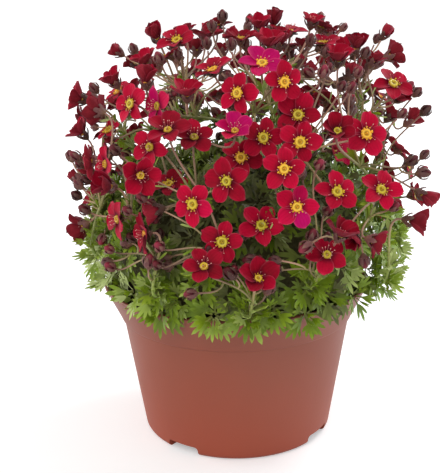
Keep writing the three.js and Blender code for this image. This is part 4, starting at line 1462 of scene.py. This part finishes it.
STALK_STOPS = [
    (0.0, 0.28, 0.40, 0.09), (0.45, 0.38, 0.40, 0.13), (0.8, 0.44, 0.27, 0.17), (1.0, 0.28, 0.13, 0.10),
]
stalk_finish = toned_finish(
    "saxifrage_stalk", "rise", STALK_STOPS, grain=500, depth=0.8, roughness=0.5, specular_ior_level=0.4
)
stalks = grow(
    add_object("stalks", lines), stalks_tree, {"Sides": TUBE["sides"], "Finish": stalk_finish}
)
set_hairs(stalks, HAIR["stalk_length"], HAIR_DENSITY["stalk"])
set_piece(stalks, "flowers", *spray_nodes)

# The stalk leaves
# Small narrow leaves, plain or cut into three, stand one by one along each lead stalk, at five places.
# A branch has two, both plain and smaller: one where it starts and one a third of the way up.
STALK_LEAF = {
    "lead_shares": (0.2, 0.32, 0.42, 0.54, 0.66),
    "branch_shares": (0.02, 0.35),
    "raised": (35, 60),
    "size": (0.95, 1.5),
    "lead_size": 1.15,
    "lead_shorter": 0.5,
    "branch_size": 0.65,
    "tint": (0.35, 1),
    "twist": 15,
    "seed": 31,
}
stalk_leaf_rows = []
for stem in stems:
    for share in STALK_LEAF["lead_shares" if stem["is_lead"] else "branch_shares"]:
        way = bezier_way(stem["curve"], share)
        angle = stalk_random.uniform(0, 2 * math.pi)
        raised = math.radians(stalk_random.uniform(*STALK_LEAF["raised"]))
        _, out, top = ways_round(way, square_to(way), angle, raised)
        kind = int(stalk_random.integers(2)) if stem["is_lead"] else 0
        size = STALK_LEAF["branch_size"]
        if stem["is_lead"]:
            size = STALK_LEAF["lead_size"] - STALK_LEAF["lead_shorter"] * share
        size *= stalk_random.uniform(*STALK_LEAF["size"])
        tint = stalk_random.uniform(*STALK_LEAF["tint"])
        stalk_leaf_rows.append((bezier(stem["curve"], share), turn_to(out, top), size, kind, tint))
stalk_leaf_shapes = [
    leaf_shape("stalk_leaf_plain", length=7.0, palm=0.75, arch=0.05, cup=0.2, lobes=[(0, 0, 0.58, 0.7)]),
    leaf_shape("stalk_leaf_cut", length=8.0, palm=0.9, arch=0.08, cup=0.2, lobes=[
        (0, 0, 0.56, 0.75), (24, -6, 0.42, 0.6), (-24, 6, 0.42, 0.6),
    ]),
]
stalk_leaves = set_copies(
    "stalk_leaves", stalk_leaf_rows, stalk_leaf_shapes, leaf_finish, STALK_LEAF["twist"], STALK_LEAF["seed"]
)
set_piece(stalk_leaves, "flowers", *spray_nodes)

# The calyces
# Each flower sits in a small hairy cup with five blunt green and maroon sepals, which spread under an
# open flower and hold a bud tight.
CALYX = {
    "cup": [(0, -2.9), (0.5, -2.8), (1.15, -2.2), (1.75, -1.4), (2.15, -0.75), (2.3, -0.35), (0, -0.2)],
    "sides": 10,
    "foot": 2.9,
    "sepal_halves": np.array([0.9, 1.05, 0.85, 0]) * 1.05,
    "bud_size": (0.82, 1.0),
    "side_tint": (0, 0.8),
    "seed": 17,
}
WIDE_OPEN, HALF_OPEN, CLOSED = 0, 1, 2
OPEN_ABOVE = {"wide": 0.78, "half": 0.42}


def calyx_shape(name, places, raises):
    """The cup, and five sepals along a line of [radius, height] pairs, raised by degrees."""
    shapes = [lathe(CALYX["cup"], CALYX["sides"])]
    for k in range(BLOOM["petals"]):
        angle = (k + 0.5) / BLOOM["petals"] * 2 * math.pi
        radial = np.array([math.cos(angle), math.sin(angle), 0.0])
        centres = [radial * radius + UP * height for radius, height in places]
        turns = [math.radians(r) for r in raises]
        ways = [radial * math.cos(t) + UP * math.sin(t) for t in turns]
        ups = [UP * math.cos(t) - radial * math.sin(t) for t in turns]
        shapes.append(blade(centres, ways, ups, CALYX["sepal_halves"]))
    points, faces = join_shapes(shapes)
    reach = np.linalg.norm(points + UP * CALYX["foot"], axis=1)
    return edged_mesh(name, points, faces, along=reach / reach.max())


def openness_kind(openness):
    """Which of the wide open, half open and closing shapes a flower takes."""
    if openness > OPEN_ABOVE["wide"]:
        return WIDE_OPEN
    return HALF_OPEN if openness > OPEN_ABOVE["half"] else CLOSED


calyx_shapes = [
    calyx_shape("calyx_open", [(1.5, -0.7), (2.7, -0.5), (3.8, -0.45), (4.7, -0.6)], [12, 6, -4, -10]),
    calyx_shape("calyx_half_open", [(1.6, -0.7), (2.4, 0.2), (3.0, 1.2), (3.4, 2.2)], [45, 50, 58, 64]),
    calyx_shape("calyx_closed", [(1.75, -0.9), (2.15, 0.3), (2.2, 1.7), (1.5, 3.1)], [65, 82, 96, 122]),
]
CALYX_STOPS = [
    (0.0, 0.21, 0.12, 0.06), (0.4, 0.16, 0.062, 0.052), (0.8, 0.145, 0.052, 0.05), (1.0, 0.20, 0.10, 0.06),
]
calyx_finish = toned_finish(
    "saxifrage_calyx", "along", CALYX_STOPS, grain=600, depth=1.0, roughness=0.55, specular_ior_level=0.35
)

bloom_random = np.random.default_rng(CALYX["seed"])
calyx_rows = []


def head_turn(head, spin=0.0):
    """The quaternion that turns a shape's +Z along a head and spins it about that."""
    across, _ = head_sides(head)
    return Quaternion(head["out"].tolist(), spin) @ Quaternion(turn_to(across, head["out"]))


for head in flowers:
    kind = min(openness_kind(head["open"]), HALF_OPEN)
    turn = tuple(head_turn(head, head["spin"]))
    calyx_rows.append((head["place"], turn, 1, kind, bloom_random.uniform(0, 1)))
for head in buds:
    size = bloom_random.uniform(*CALYX["bud_size"])
    place = head["place"] + head["out"] * CALYX["foot"]
    calyx_rows.append((place, tuple(head_turn(head)), size, CLOSED, bloom_random.uniform(0, 1)))
for head in side_heads:
    kind = CLOSED if head["kind"] == "bud" else HALF_OPEN
    tint = bloom_random.uniform(*CALYX["side_tint"])
    calyx_rows.append((head["place"], tuple(head_turn(head)), head["size"], kind, tint))
calyces = set_copies("calyces", calyx_rows, calyx_shapes, calyx_finish)
set_hairs(calyces, HAIR["calyx_length"], HAIR_DENSITY["calyx"])
set_piece(calyces, "flowers", *spray_nodes)

# The buds
# A bud's petals are rolled into a blunt dark red tip, which stands out of the closed calyx.
ROLLED = {
    "profile": [
        (0, -0.6), (1.6, -0.5), (1.95, 0.6), (1.9, 1.6), (1.6, 2.6), (1.0, 3.4), (0.45, 3.8), (0, 3.9),
    ],
    "foot": -0.6,
    "length": 4.5,
    "sides": 15,
    "twist": 0.35,
    "fold": 0.09,
}
points, faces = lathe(ROLLED["profile"], ROLLED["sides"])
turn = np.arctan2(points[:, 1], points[:, 0]) + points[:, 2] * ROLLED["twist"]
points[:, :2] *= (1 - ROLLED["fold"] * np.abs(np.sin(turn * BLOOM["petals"] / 2)))[:, None]
bud_mesh = add_mesh("bud_petals", points, faces)
add_field(bud_mesh, "along", np.clip((points[:, 2] - ROLLED["foot"]) / ROLLED["length"], 0, 1))

ROLLED_STOPS = [(0.0, 0.09, 0.008, 0.016), (0.6, 0.13, 0.011, 0.02), (1.0, 0.21, 0.014, 0.028)]
bud_finish = toned_finish(
    "rolled_petal", "along", ROLLED_STOPS, grain=500, depth=1.2, roughness=0.5, specular_ior_level=0.35
)
bud_rows = [(*place, 0, tint) for *place, kind, tint in calyx_rows if kind == CLOSED]
bud_tips = set_copies("bud_tips", bud_rows, [bud_mesh], bud_finish)
set_piece(bud_tips, "flowers", *spray_nodes)

# The petals
# Five broad blunt petals a flower, thin and velvety: crimson, with darker veins and a dark ring round
# the eye, duller underneath, and a pale pink rim that is partly fine hair and partly a painted
# highlight on lit edges. Each overlaps the next a little, and a few flowers lean to magenta.
PETAL = {
    "foot": 1.3,
    "thickness": 0.028,
    "overlap": 8.0,
    "kinds": 6,
    "bends": ((-0.02, 0.3), (0.08, 0.65), (0.22, 0.95)),
    "steps": np.array([0, 0.14, 0.34, 0.56, 0.76, 0.91, 1]),
    "columns": np.array([-1, -0.55, 0, 0.55, 1]),
    "blunt": np.array([0.22, 0.32, 0.45, 0.5, 0.47, 0.35, 0.13]),
    "pointed": np.array([0.22, 0.32, 0.44, 0.46, 0.36, 0.19, 0.04]),
    "size": (0.94, 1.07),
    "length": (0.92, 1.06),
    "uneven_angle": 0.03,
    "uneven_raise": 9,
    "uneven_overlap": 4,
    "seed": 43,
}
SIDE_PETAL = {
    "size": 6.2,
    "length": (0.9, 1.1),
    "uneven_angle": 0.06,
    "raise": 72,
    "opening": 45,
    "uneven_raise": 6,
    "tint": (0, 0.45),
}
PETAL_TINT = {"open_above": 0.84, "open": 0.46, "closing": 0.2, "flower": 0.24, "petal": 0.16}
PETAL_COLOURS = {
    "magenta": (0.35, 0.0, 0.075, 1),
    "vein": (0.27, 0.0, 0.014, 1),
    "rim": (0.66, 0.10, 0.16, 1),
    "underside": (0.34, 0.026, 0.042, 1),
}
# Magenta flowers of the photograph, by place in the picture, and how far each leans to it.
MAGENTA_SEEN = {(262, 64): 0.97, (235, 132): 0.93, (297, 207): 0.88, (158, 106): 0.86, (333, 149): 0.9}


def petal_shape(name, pointed, broad, curl, cup, wave, phase, dent):
    """A petal along +X with a length of 1: a closed thin sheet, curled up along it and cupped across."""
    t, u = np.meshgrid(PETAL["steps"], PETAL["columns"], indexing="ij")
    outline = PETAL["blunt"] + (PETAL["pointed"] - PETAL["blunt"]) * pointed
    half = np.broadcast_to(outline[:, None], t.shape) * broad
    x = t - 0.05 * u**2 * t**3 - dent * np.exp(-((u / 0.3) ** 2)) * t**10
    y = u * half * (1 - 0.1 * cup * t) + wave * 0.5 * np.sin(t * 7 + phase) * t
    z = curl * t**2 + cup * u**2 * half * 0.55 - 0.05 * t**6
    z = z + wave * np.sin(u * 4.5 + phase) * t**2 - 0.03 * np.exp(-((u / 0.2) ** 2)) * np.sin(t * 3.1)
    top = np.stack([x, y, z], -1).reshape(-1, 3)
    under = top - UP * PETAL["thickness"]
    rows, columns = t.shape
    faces = []
    for i in range(rows - 1):
        for j in range(columns - 1):
            a = i * columns + j
            b = a + columns
            faces.append((a, b, b + 1, a + 1))
            faces.append(tuple(len(top) + v for v in (a, a + 1, b + 1, b)))
    rim = list(range(columns))
    rim += [i * columns + columns - 1 for i in range(1, rows)]
    rim += [(rows - 1) * columns + j for j in range(columns - 2, -1, -1)]
    rim += [i * columns for i in range(rows - 2, 0, -1)]
    for a, b in zip(rim, rim[1:] + rim[:1]):
        faces.append((a, b, len(top) + b, len(top) + a))
    along, aside = np.tile(t.ravel(), 2), np.tile(u.ravel(), 2)
    sides = np.repeat([0.0, 1.0], t.size)
    return edged_mesh(name, np.vstack([top, under]), faces, along=along, aside=aside, under=sides)


petal_shapes = []
petal_random = np.random.default_rng(PETAL["seed"])
for curl, cup in PETAL["bends"]:
    for _ in range(PETAL["kinds"]):
        petal_shapes.append(
            petal_shape(
                f"petal_{len(petal_shapes):02d}",
                pointed=petal_random.uniform(0, 1),
                broad=petal_random.uniform(0.86, 1.06),
                curl=curl + petal_random.uniform(-0.1, 0.1),
                cup=cup + petal_random.uniform(-0.25, 0.25),
                wave=petal_random.uniform(0.03, 0.065),
                phase=petal_random.uniform(0, 6.3),
                dent=petal_random.uniform(-0.05, 0.06),
            )
        )

petal_finish, tree, shader = add_finish(
    "saxifrage_petal",
    roughness=0.6,
    specular_ior_level=0.1,
    sheen_weight=0.16,
    sheen_roughness=0.45,
    sheen_tint=(1.0, 0.36, 0.56, 1),
)
crimson = ramp(
    tree,
    "along",
    (0.0, 0.08, 0.0, 0.008),
    (0.14, 0.14, 0.0, 0.012),
    (0.38, 0.42, 0.0, 0.022),
    (1.0, 0.53, 0.0, 0.032),
)
along, aside = attribute(tree, "along"), attribute(tree, "aside")
veins = math_node(tree, "SINE", math_node(tree, "MULTIPLY", aside, 17.0))
veins = math_node(tree, "POWER", math_node(tree, "MULTIPLY_ADD", veins, 0.5, 0.5), 3.0)
# The pale rim at the sides and tip: partly fine hair, partly a painted highlight on lit edges.
edge = math_node(tree, "POWER", math_node(tree, "ABSOLUTE", aside), 14.0)
rim = math_node(tree, "MAXIMUM", math_node(tree, "POWER", along, 22.0), edge)
magenta = map_range(tree, attribute(tree, "tint"), 0.82, 1, 0, 1)
coloured = mix_colours(tree, magenta, crimson, PETAL_COLOURS["magenta"])
under = attribute(tree, "under")
for share, most, name in ((veins, 0.22, "vein"), (rim, 0.45, "rim"), (under, 0.75, "underside")):
    share = math_node(tree, "MULTIPLY", share, most)
    coloured = mix_colours(tree, share, coloured, PETAL_COLOURS[name])
paint_toned(tree, shader, coloured, grain=350, depth=0.95, turn=0.004)
add_bump(tree, shader, veins, strength=0.3, distance=0.00015)

petal_rows = []


def add_petal(place, way, top, overlap, length, group, tint):
    """Adds a petal of a random kind, turned about its length so that it lies over the next one."""
    tilt = math.radians(overlap)
    top = top * math.cos(tilt) + np.cross(way, top) * math.sin(tilt)
    kind = group * PETAL["kinds"] + int(bloom_random.integers(PETAL["kinds"]))
    petal_rows.append((place, turn_to(way, top), length, kind, tint))


def around(most):
    """A random number up to so much above or below nought."""
    return bloom_random.uniform(-most, most)


def spaced(k, uneven):
    """The angle of a petal in its ring, which is a little off."""
    return (k + around(uneven)) / BLOOM["petals"] * 2 * math.pi


for head in flowers:
    shade = PETAL_TINT["open" if head["open"] > PETAL_TINT["open_above"] else "closing"]
    shade += around(PETAL_TINT["flower"])
    flower_tint = MAGENTA_SEEN.get(head.get("seen"), shade)
    reach = (head["radius"] - PETAL["foot"]) * bloom_random.uniform(*PETAL["size"])
    for k in range(BLOOM["petals"]):
        angle = head["spin"] + spaced(k, PETAL["uneven_angle"])
        raised = math.radians((1 - head["open"]) * BLOOM["shut_raise"] + around(PETAL["uneven_raise"]))
        _, way, top = ways_round(head["out"], head_sides(head), angle, raised)
        overlap = PETAL["overlap"] + around(PETAL["uneven_overlap"])
        length = reach * bloom_random.uniform(*PETAL["length"])
        group = openness_kind(head["open"])
        add_petal(head["place"] + way * PETAL["foot"], way, top, overlap, length, group, flower_tint)
        *row, tint = petal_rows[-1]
        petal_rows[-1] = (*row, np.clip(tint + around(PETAL_TINT["petal"]), 0, 1))
for head in side_heads:
    if head["kind"] == "bud":
        continue
    flower_tint = bloom_random.uniform(*SIDE_PETAL["tint"])
    for k in range(BLOOM["petals"]):
        angle = spaced(k, SIDE_PETAL["uneven_angle"])
        raised = SIDE_PETAL["raise"] - SIDE_PETAL["opening"] * head["open"]
        raised = math.radians(raised + around(SIDE_PETAL["uneven_raise"]))
        radial, way, top = ways_round(head["out"], head_sides(head), angle, raised)
        length = SIDE_PETAL["size"] * head["size"] * bloom_random.uniform(*SIDE_PETAL["length"])
        place = head["place"] + radial * PETAL["foot"] * head["size"]
        add_petal(place, way, top, PETAL["overlap"], length, CLOSED, flower_tint)
petals = set_copies("petals", petal_rows, petal_shapes, petal_finish)
set_piece(petals, "flowers", *spray_nodes)

# The eyes
# In the middle of each flower a dimpled yellow-green disc carries a wreath of golden anthers, and
# pale pink stamens with small bleached anthers reach out over the petals. In a flower that is still
# young they stand up in a brush instead.
DISC = {
    "radius": 2.35,
    "young": 0.8,
    "sizes": (0.9, 1.05),
    "dimples": 0.06,
    "profile": [
        (0.85, -0.2), (0.97, 0.25), (0.93, 0.6), (0.75, 0.95), (0.5, 0.9), (0.3, 0.55),
    ],
    "sides": 16,
}
BEADS = {
    "count": 11,
    "size": 0.4,
    "sizes": (0.6, 1.25),
    "radius": 2.3,
    "reaches": (0.85, 1.2),
    "heights": (0.6, 1.1),
    "lean": 0.4,
    "inner_count": 3,
    "inner_size": 0.3,
    "inner_reach": (0.3, 0.5),
    "inner_height": (0.9, 1.1),
}
STAMEN = {"foot": 1.5, "thread": 0.085, "tip": 0.25, "end": 0.1, "bow": 0.4}
STAMENS_OUT = {"count": 6, "reach": (2.6, 4.4), "rise": (0.8, 1.9)}
STAMENS_UP = {"count": 11, "reach": (1.2, 2.9), "rise": (2.6, 3.8)}
EYES = {
    "kinds": 3,
    "young_below": 0.6,
    "young_share": 0.18,
    "forward": 1.6,
    "most_forward": 0.6,
    "seed": 60,
}
EYE_SIZES = ((0.3, 0.6, 0.85), (0.6, 0.78, 1.0))
GOLD = (0.80, 0.47, 0.03, 1)
# Flowers of the photograph whose stamens stand in a pale brush, by place in the picture.
BRUSHES_SEEN = {
    (106, 164), (118, 219), (146, 234), (140, 175), (158, 106), (194, 138), (333, 149), (204, 267),
    (235, 132), (168, 131), (93, 160),
}


def tube_shape(line, radii, sides):
    """A closed tube round a line, which ends in points."""
    turns = np.arange(sides) / sides * 2 * math.pi
    points = [line[0]]
    for k in range(1, len(line) - 1):
        across, along = square_to(unit(line[k + 1] - line[k - 1]))
        points.extend(line[k] + (across * math.cos(t) + along * math.sin(t)) * radii[k] for t in turns)
    points.append(line[-1])
    return np.array(points), ring_faces(sides, len(line) - 2)


def bead_shape(place, lean, size, sides):
    """A small oval bead along a lean."""
    ends = [place + lean * size * share for share in (-1.1, -0.55, 0.55, 1.1)]
    return tube_shape(ends, [0, size * 0.8, size * 0.8, 0], sides)


def eye_shapes(number, is_young):
    """The threads, their pale tips, the golden wreath and the disc of one eye, each as a mesh."""
    random = np.random.default_rng(EYES["seed"] + number)
    threads, tips, wreath = [], [], []

    def ring_way(k, uneven, count):
        angle = (k + random.uniform(-uneven, uneven)) / count * 2 * math.pi
        return np.array([math.cos(angle), math.sin(angle), 0.0])

    stamens = STAMENS_UP if is_young else STAMENS_OUT
    for k in range(stamens["count"]):
        radial = ring_way(k, 0.3, stamens["count"])
        reach, rise = random.uniform(*stamens["reach"]), random.uniform(*stamens["rise"])
        foot, tip = radial * STAMEN["foot"], radial * reach + UP * rise
        end, bow = UP * STAMEN["end"], UP * STAMEN["bow"]
        line = [foot, foot + end, (foot + tip) / 2 + bow, tip, tip + end]
        threads.append(tube_shape(line, [STAMEN["thread"]] * len(line), sides=3))
        tips.append(bead_shape(tip, unit(radial + UP * random.uniform(0, 1)), STAMEN["tip"], sides=4))
    for k in range(0 if is_young else BEADS["count"]):
        radial = ring_way(k, 0.45, BEADS["count"])
        place = radial * BEADS["radius"] * random.uniform(*BEADS["reaches"])
        place = place + UP * random.uniform(*BEADS["heights"])
        size = BEADS["size"] * random.uniform(*BEADS["sizes"])
        wreath.append(bead_shape(place, unit(radial + UP * BEADS["lean"]), size, sides=5))
    for k in range(BEADS["inner_count"]):
        radial = ring_way(k, 0.3, BEADS["inner_count"])
        place = radial * random.uniform(*BEADS["inner_reach"])
        place = place + UP * random.uniform(*BEADS["inner_height"])
        lean = unit(radial * BEADS["lean"] + UP)
        wreath.append(bead_shape(place, lean, BEADS["inner_size"], sides=5))
    radius = DISC["radius"] * (DISC["young"] if is_young else random.uniform(*DISC["sizes"]))
    profile = [(0, -0.3), *((radius * share, height) for share, height in DISC["profile"]), (0, 0.4)]
    points, faces = lathe(profile, DISC["sides"])
    turn = np.arctan2(points[:, 1], points[:, 0])
    points[:, :2] *= (1 + DISC["dimples"] * np.sin(turn * 5 + random.uniform(0, 6)))[:, None]
    disc = add_mesh(f"disc_{number}", points, faces)
    add_field(disc, "along", np.linalg.norm(points[:, :2], axis=1) / radius)
    parts = {"threads": threads, "tips": tips, "wreath": wreath}
    return [*(add_mesh(f"{part}_{number}", *join_shapes(parts[part])) for part in parts), disc]


eyes = [eye_shapes(n, n >= EYES["kinds"]) for n in range(2 * EYES["kinds"])]
eye_rows = []
for head in flowers:
    turn = tuple(head_turn(head, bloom_random.uniform(0, 2 * math.pi)))
    is_young = (
        head["open"] < EYES["young_below"]
        or bloom_random.uniform() < EYES["young_share"]
        or head.get("seen") in BRUSHES_SEEN
    )
    size = np.interp(head["open"], *EYE_SIZES)
    kind = int(bloom_random.integers(EYES["kinds"])) + EYES["kinds"] * is_young
    place = head["place"] + head["out"] * min(EYES["forward"] * (1 - head["open"]), EYES["most_forward"])
    eye_rows.append((place, turn, size, kind, bloom_random.uniform(0, 1)))

thread_finish = add_finish("stamen_thread", base_color=(0.62, 0.13, 0.14, 1), roughness=0.5)[0]
tip_finish = add_finish("bleached_anther", base_color=(0.8, 0.4, 0.34, 1), roughness=0.6)[0]
wreath_finish, tree, shader = add_finish("golden_anther", roughness=0.7, specular_ior_level=0.3)
golden = add_node(tree, "ShaderNodeRGB").outputs[0]
golden.default_value = GOLD
paint_toned(tree, shader, golden, grain=900, depth=0.6, turn=0.03)
DISC_STOPS = [
    (0.0, 0.38, 0.20, 0.01), (0.38, 0.46, 0.29, 0.012), (0.6, 0.84, 0.60, 0.035), (1.0, 0.64, 0.34, 0.02),
]
disc_finish = toned_finish(
    "nectar_disc",
    "along",
    DISC_STOPS,
    grain=900,
    depth=0.6,
    turn=0.05,
    roughness=0.4,
    specular_ior_level=0.5,
)
eye_pieces = (
    ("stamen_threads", thread_finish),
    ("stamen_tips", tip_finish),
    ("anther_wreaths", wreath_finish),
    ("nectar_discs", disc_finish),
)
for part, (name, finish) in enumerate(eye_pieces):
    piece = set_copies(name, eye_rows, [eye[part] for eye in eyes], finish)
    set_piece(piece, "flowers", *spray_nodes)

# The studio
# A plain white floor that glows faintly, as a light table does, more so farther away, where it runs
# on out of sight. Soft lamps stand in front above the camera, behind the pot and at both sides.
FLOOR = {"half": 6.0, "colour": (0.85, 0.85, 0.85, 1), "near_glow": 0.35, "far_glow": 0.8, "near": 0.15}
SURROUND = {"light": 0.62, "backdrop": 1.1}
LAMPS = {
    "front_lamp": ((-0.35, -0.8, 0.8), 0.12, 0.6, 3.7, (1, 1, 1)),
    "back_lamp": ((0.6, 0.45, 0.9), 0.1, 0.4, 6.0, (1, 1, 1)),
    "left_lamp": ((-0.75, 0.25, 0.2), 0.06, 0.4, 1.8, (1, 1, 1)),
    "right_lamp": ((0.75, 0.25, 0.2), 0.06, 0.4, 1.8, (0.66, 0.84, 1.0)),
}

half = FLOOR["half"]
floor_mesh = bpy.data.meshes.new("floor")
floor_mesh.from_pydata(
    [(-half, -half, 0), (half, -half, 0), (half, half, 0), (-half, half, 0)], [], [(0, 1, 2, 3)]
)
floor_piece = add_object("floor", floor_mesh)
floor_finish, tree, shader = add_finish(
    "floor_paint", base_color=FLOOR["colour"], roughness=0.9, emission_color=(1, 1, 1, 1)
)
is_seen = add_node(tree, "ShaderNodeLightPath").outputs["Is Camera Ray"]
away = add_node(tree, "ShaderNodeVectorMath", {0: own_place(tree)}, operation="LENGTH").outputs["Value"]
glow = map_range(tree, away, FLOOR["near"], 1, FLOOR["near_glow"], FLOOR["far_glow"])
tree.links.new(math_node(tree, "MULTIPLY", is_seen, glow), shader.inputs["Emission Strength"])
floor_piece.data.materials.append(floor_finish)
floor_piece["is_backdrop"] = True

world = bpy.data.worlds.new("surround")
bpy.context.scene.world = world
world.use_nodes = True
tree = world.node_tree
surround = tree.nodes["Background"]
surround.inputs["Color"].default_value = (1, 1, 1, 1)
is_seen = add_node(tree, "ShaderNodeLightPath").outputs["Is Camera Ray"]
strength = map_range(tree, is_seen, 0, 1, SURROUND["light"], SURROUND["backdrop"])
tree.links.new(strength, surround.inputs["Strength"])

# Each lamp is square, and faces a point on the pot's axis at a height.
for name, (place, height, size, power, colour) in LAMPS.items():
    lamp = bpy.data.objects.new(name, bpy.data.lights.new(name, "AREA"))
    lamp.data.size = size
    lamp.data.energy = power
    lamp.data.color = colour
    way = unit(np.array(place) - UP * height)
    across = unit(np.cross(UP, way))
    turn = Matrix(np.column_stack([across, np.cross(way, across), way]).tolist())
    lamp.matrix_world = Matrix.Translation(place) @ turn.to_4x4()
    bpy.context.scene.collection.objects.link(lamp)
bpy.context.scene.view_settings.view_transform = "Standard"

low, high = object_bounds()
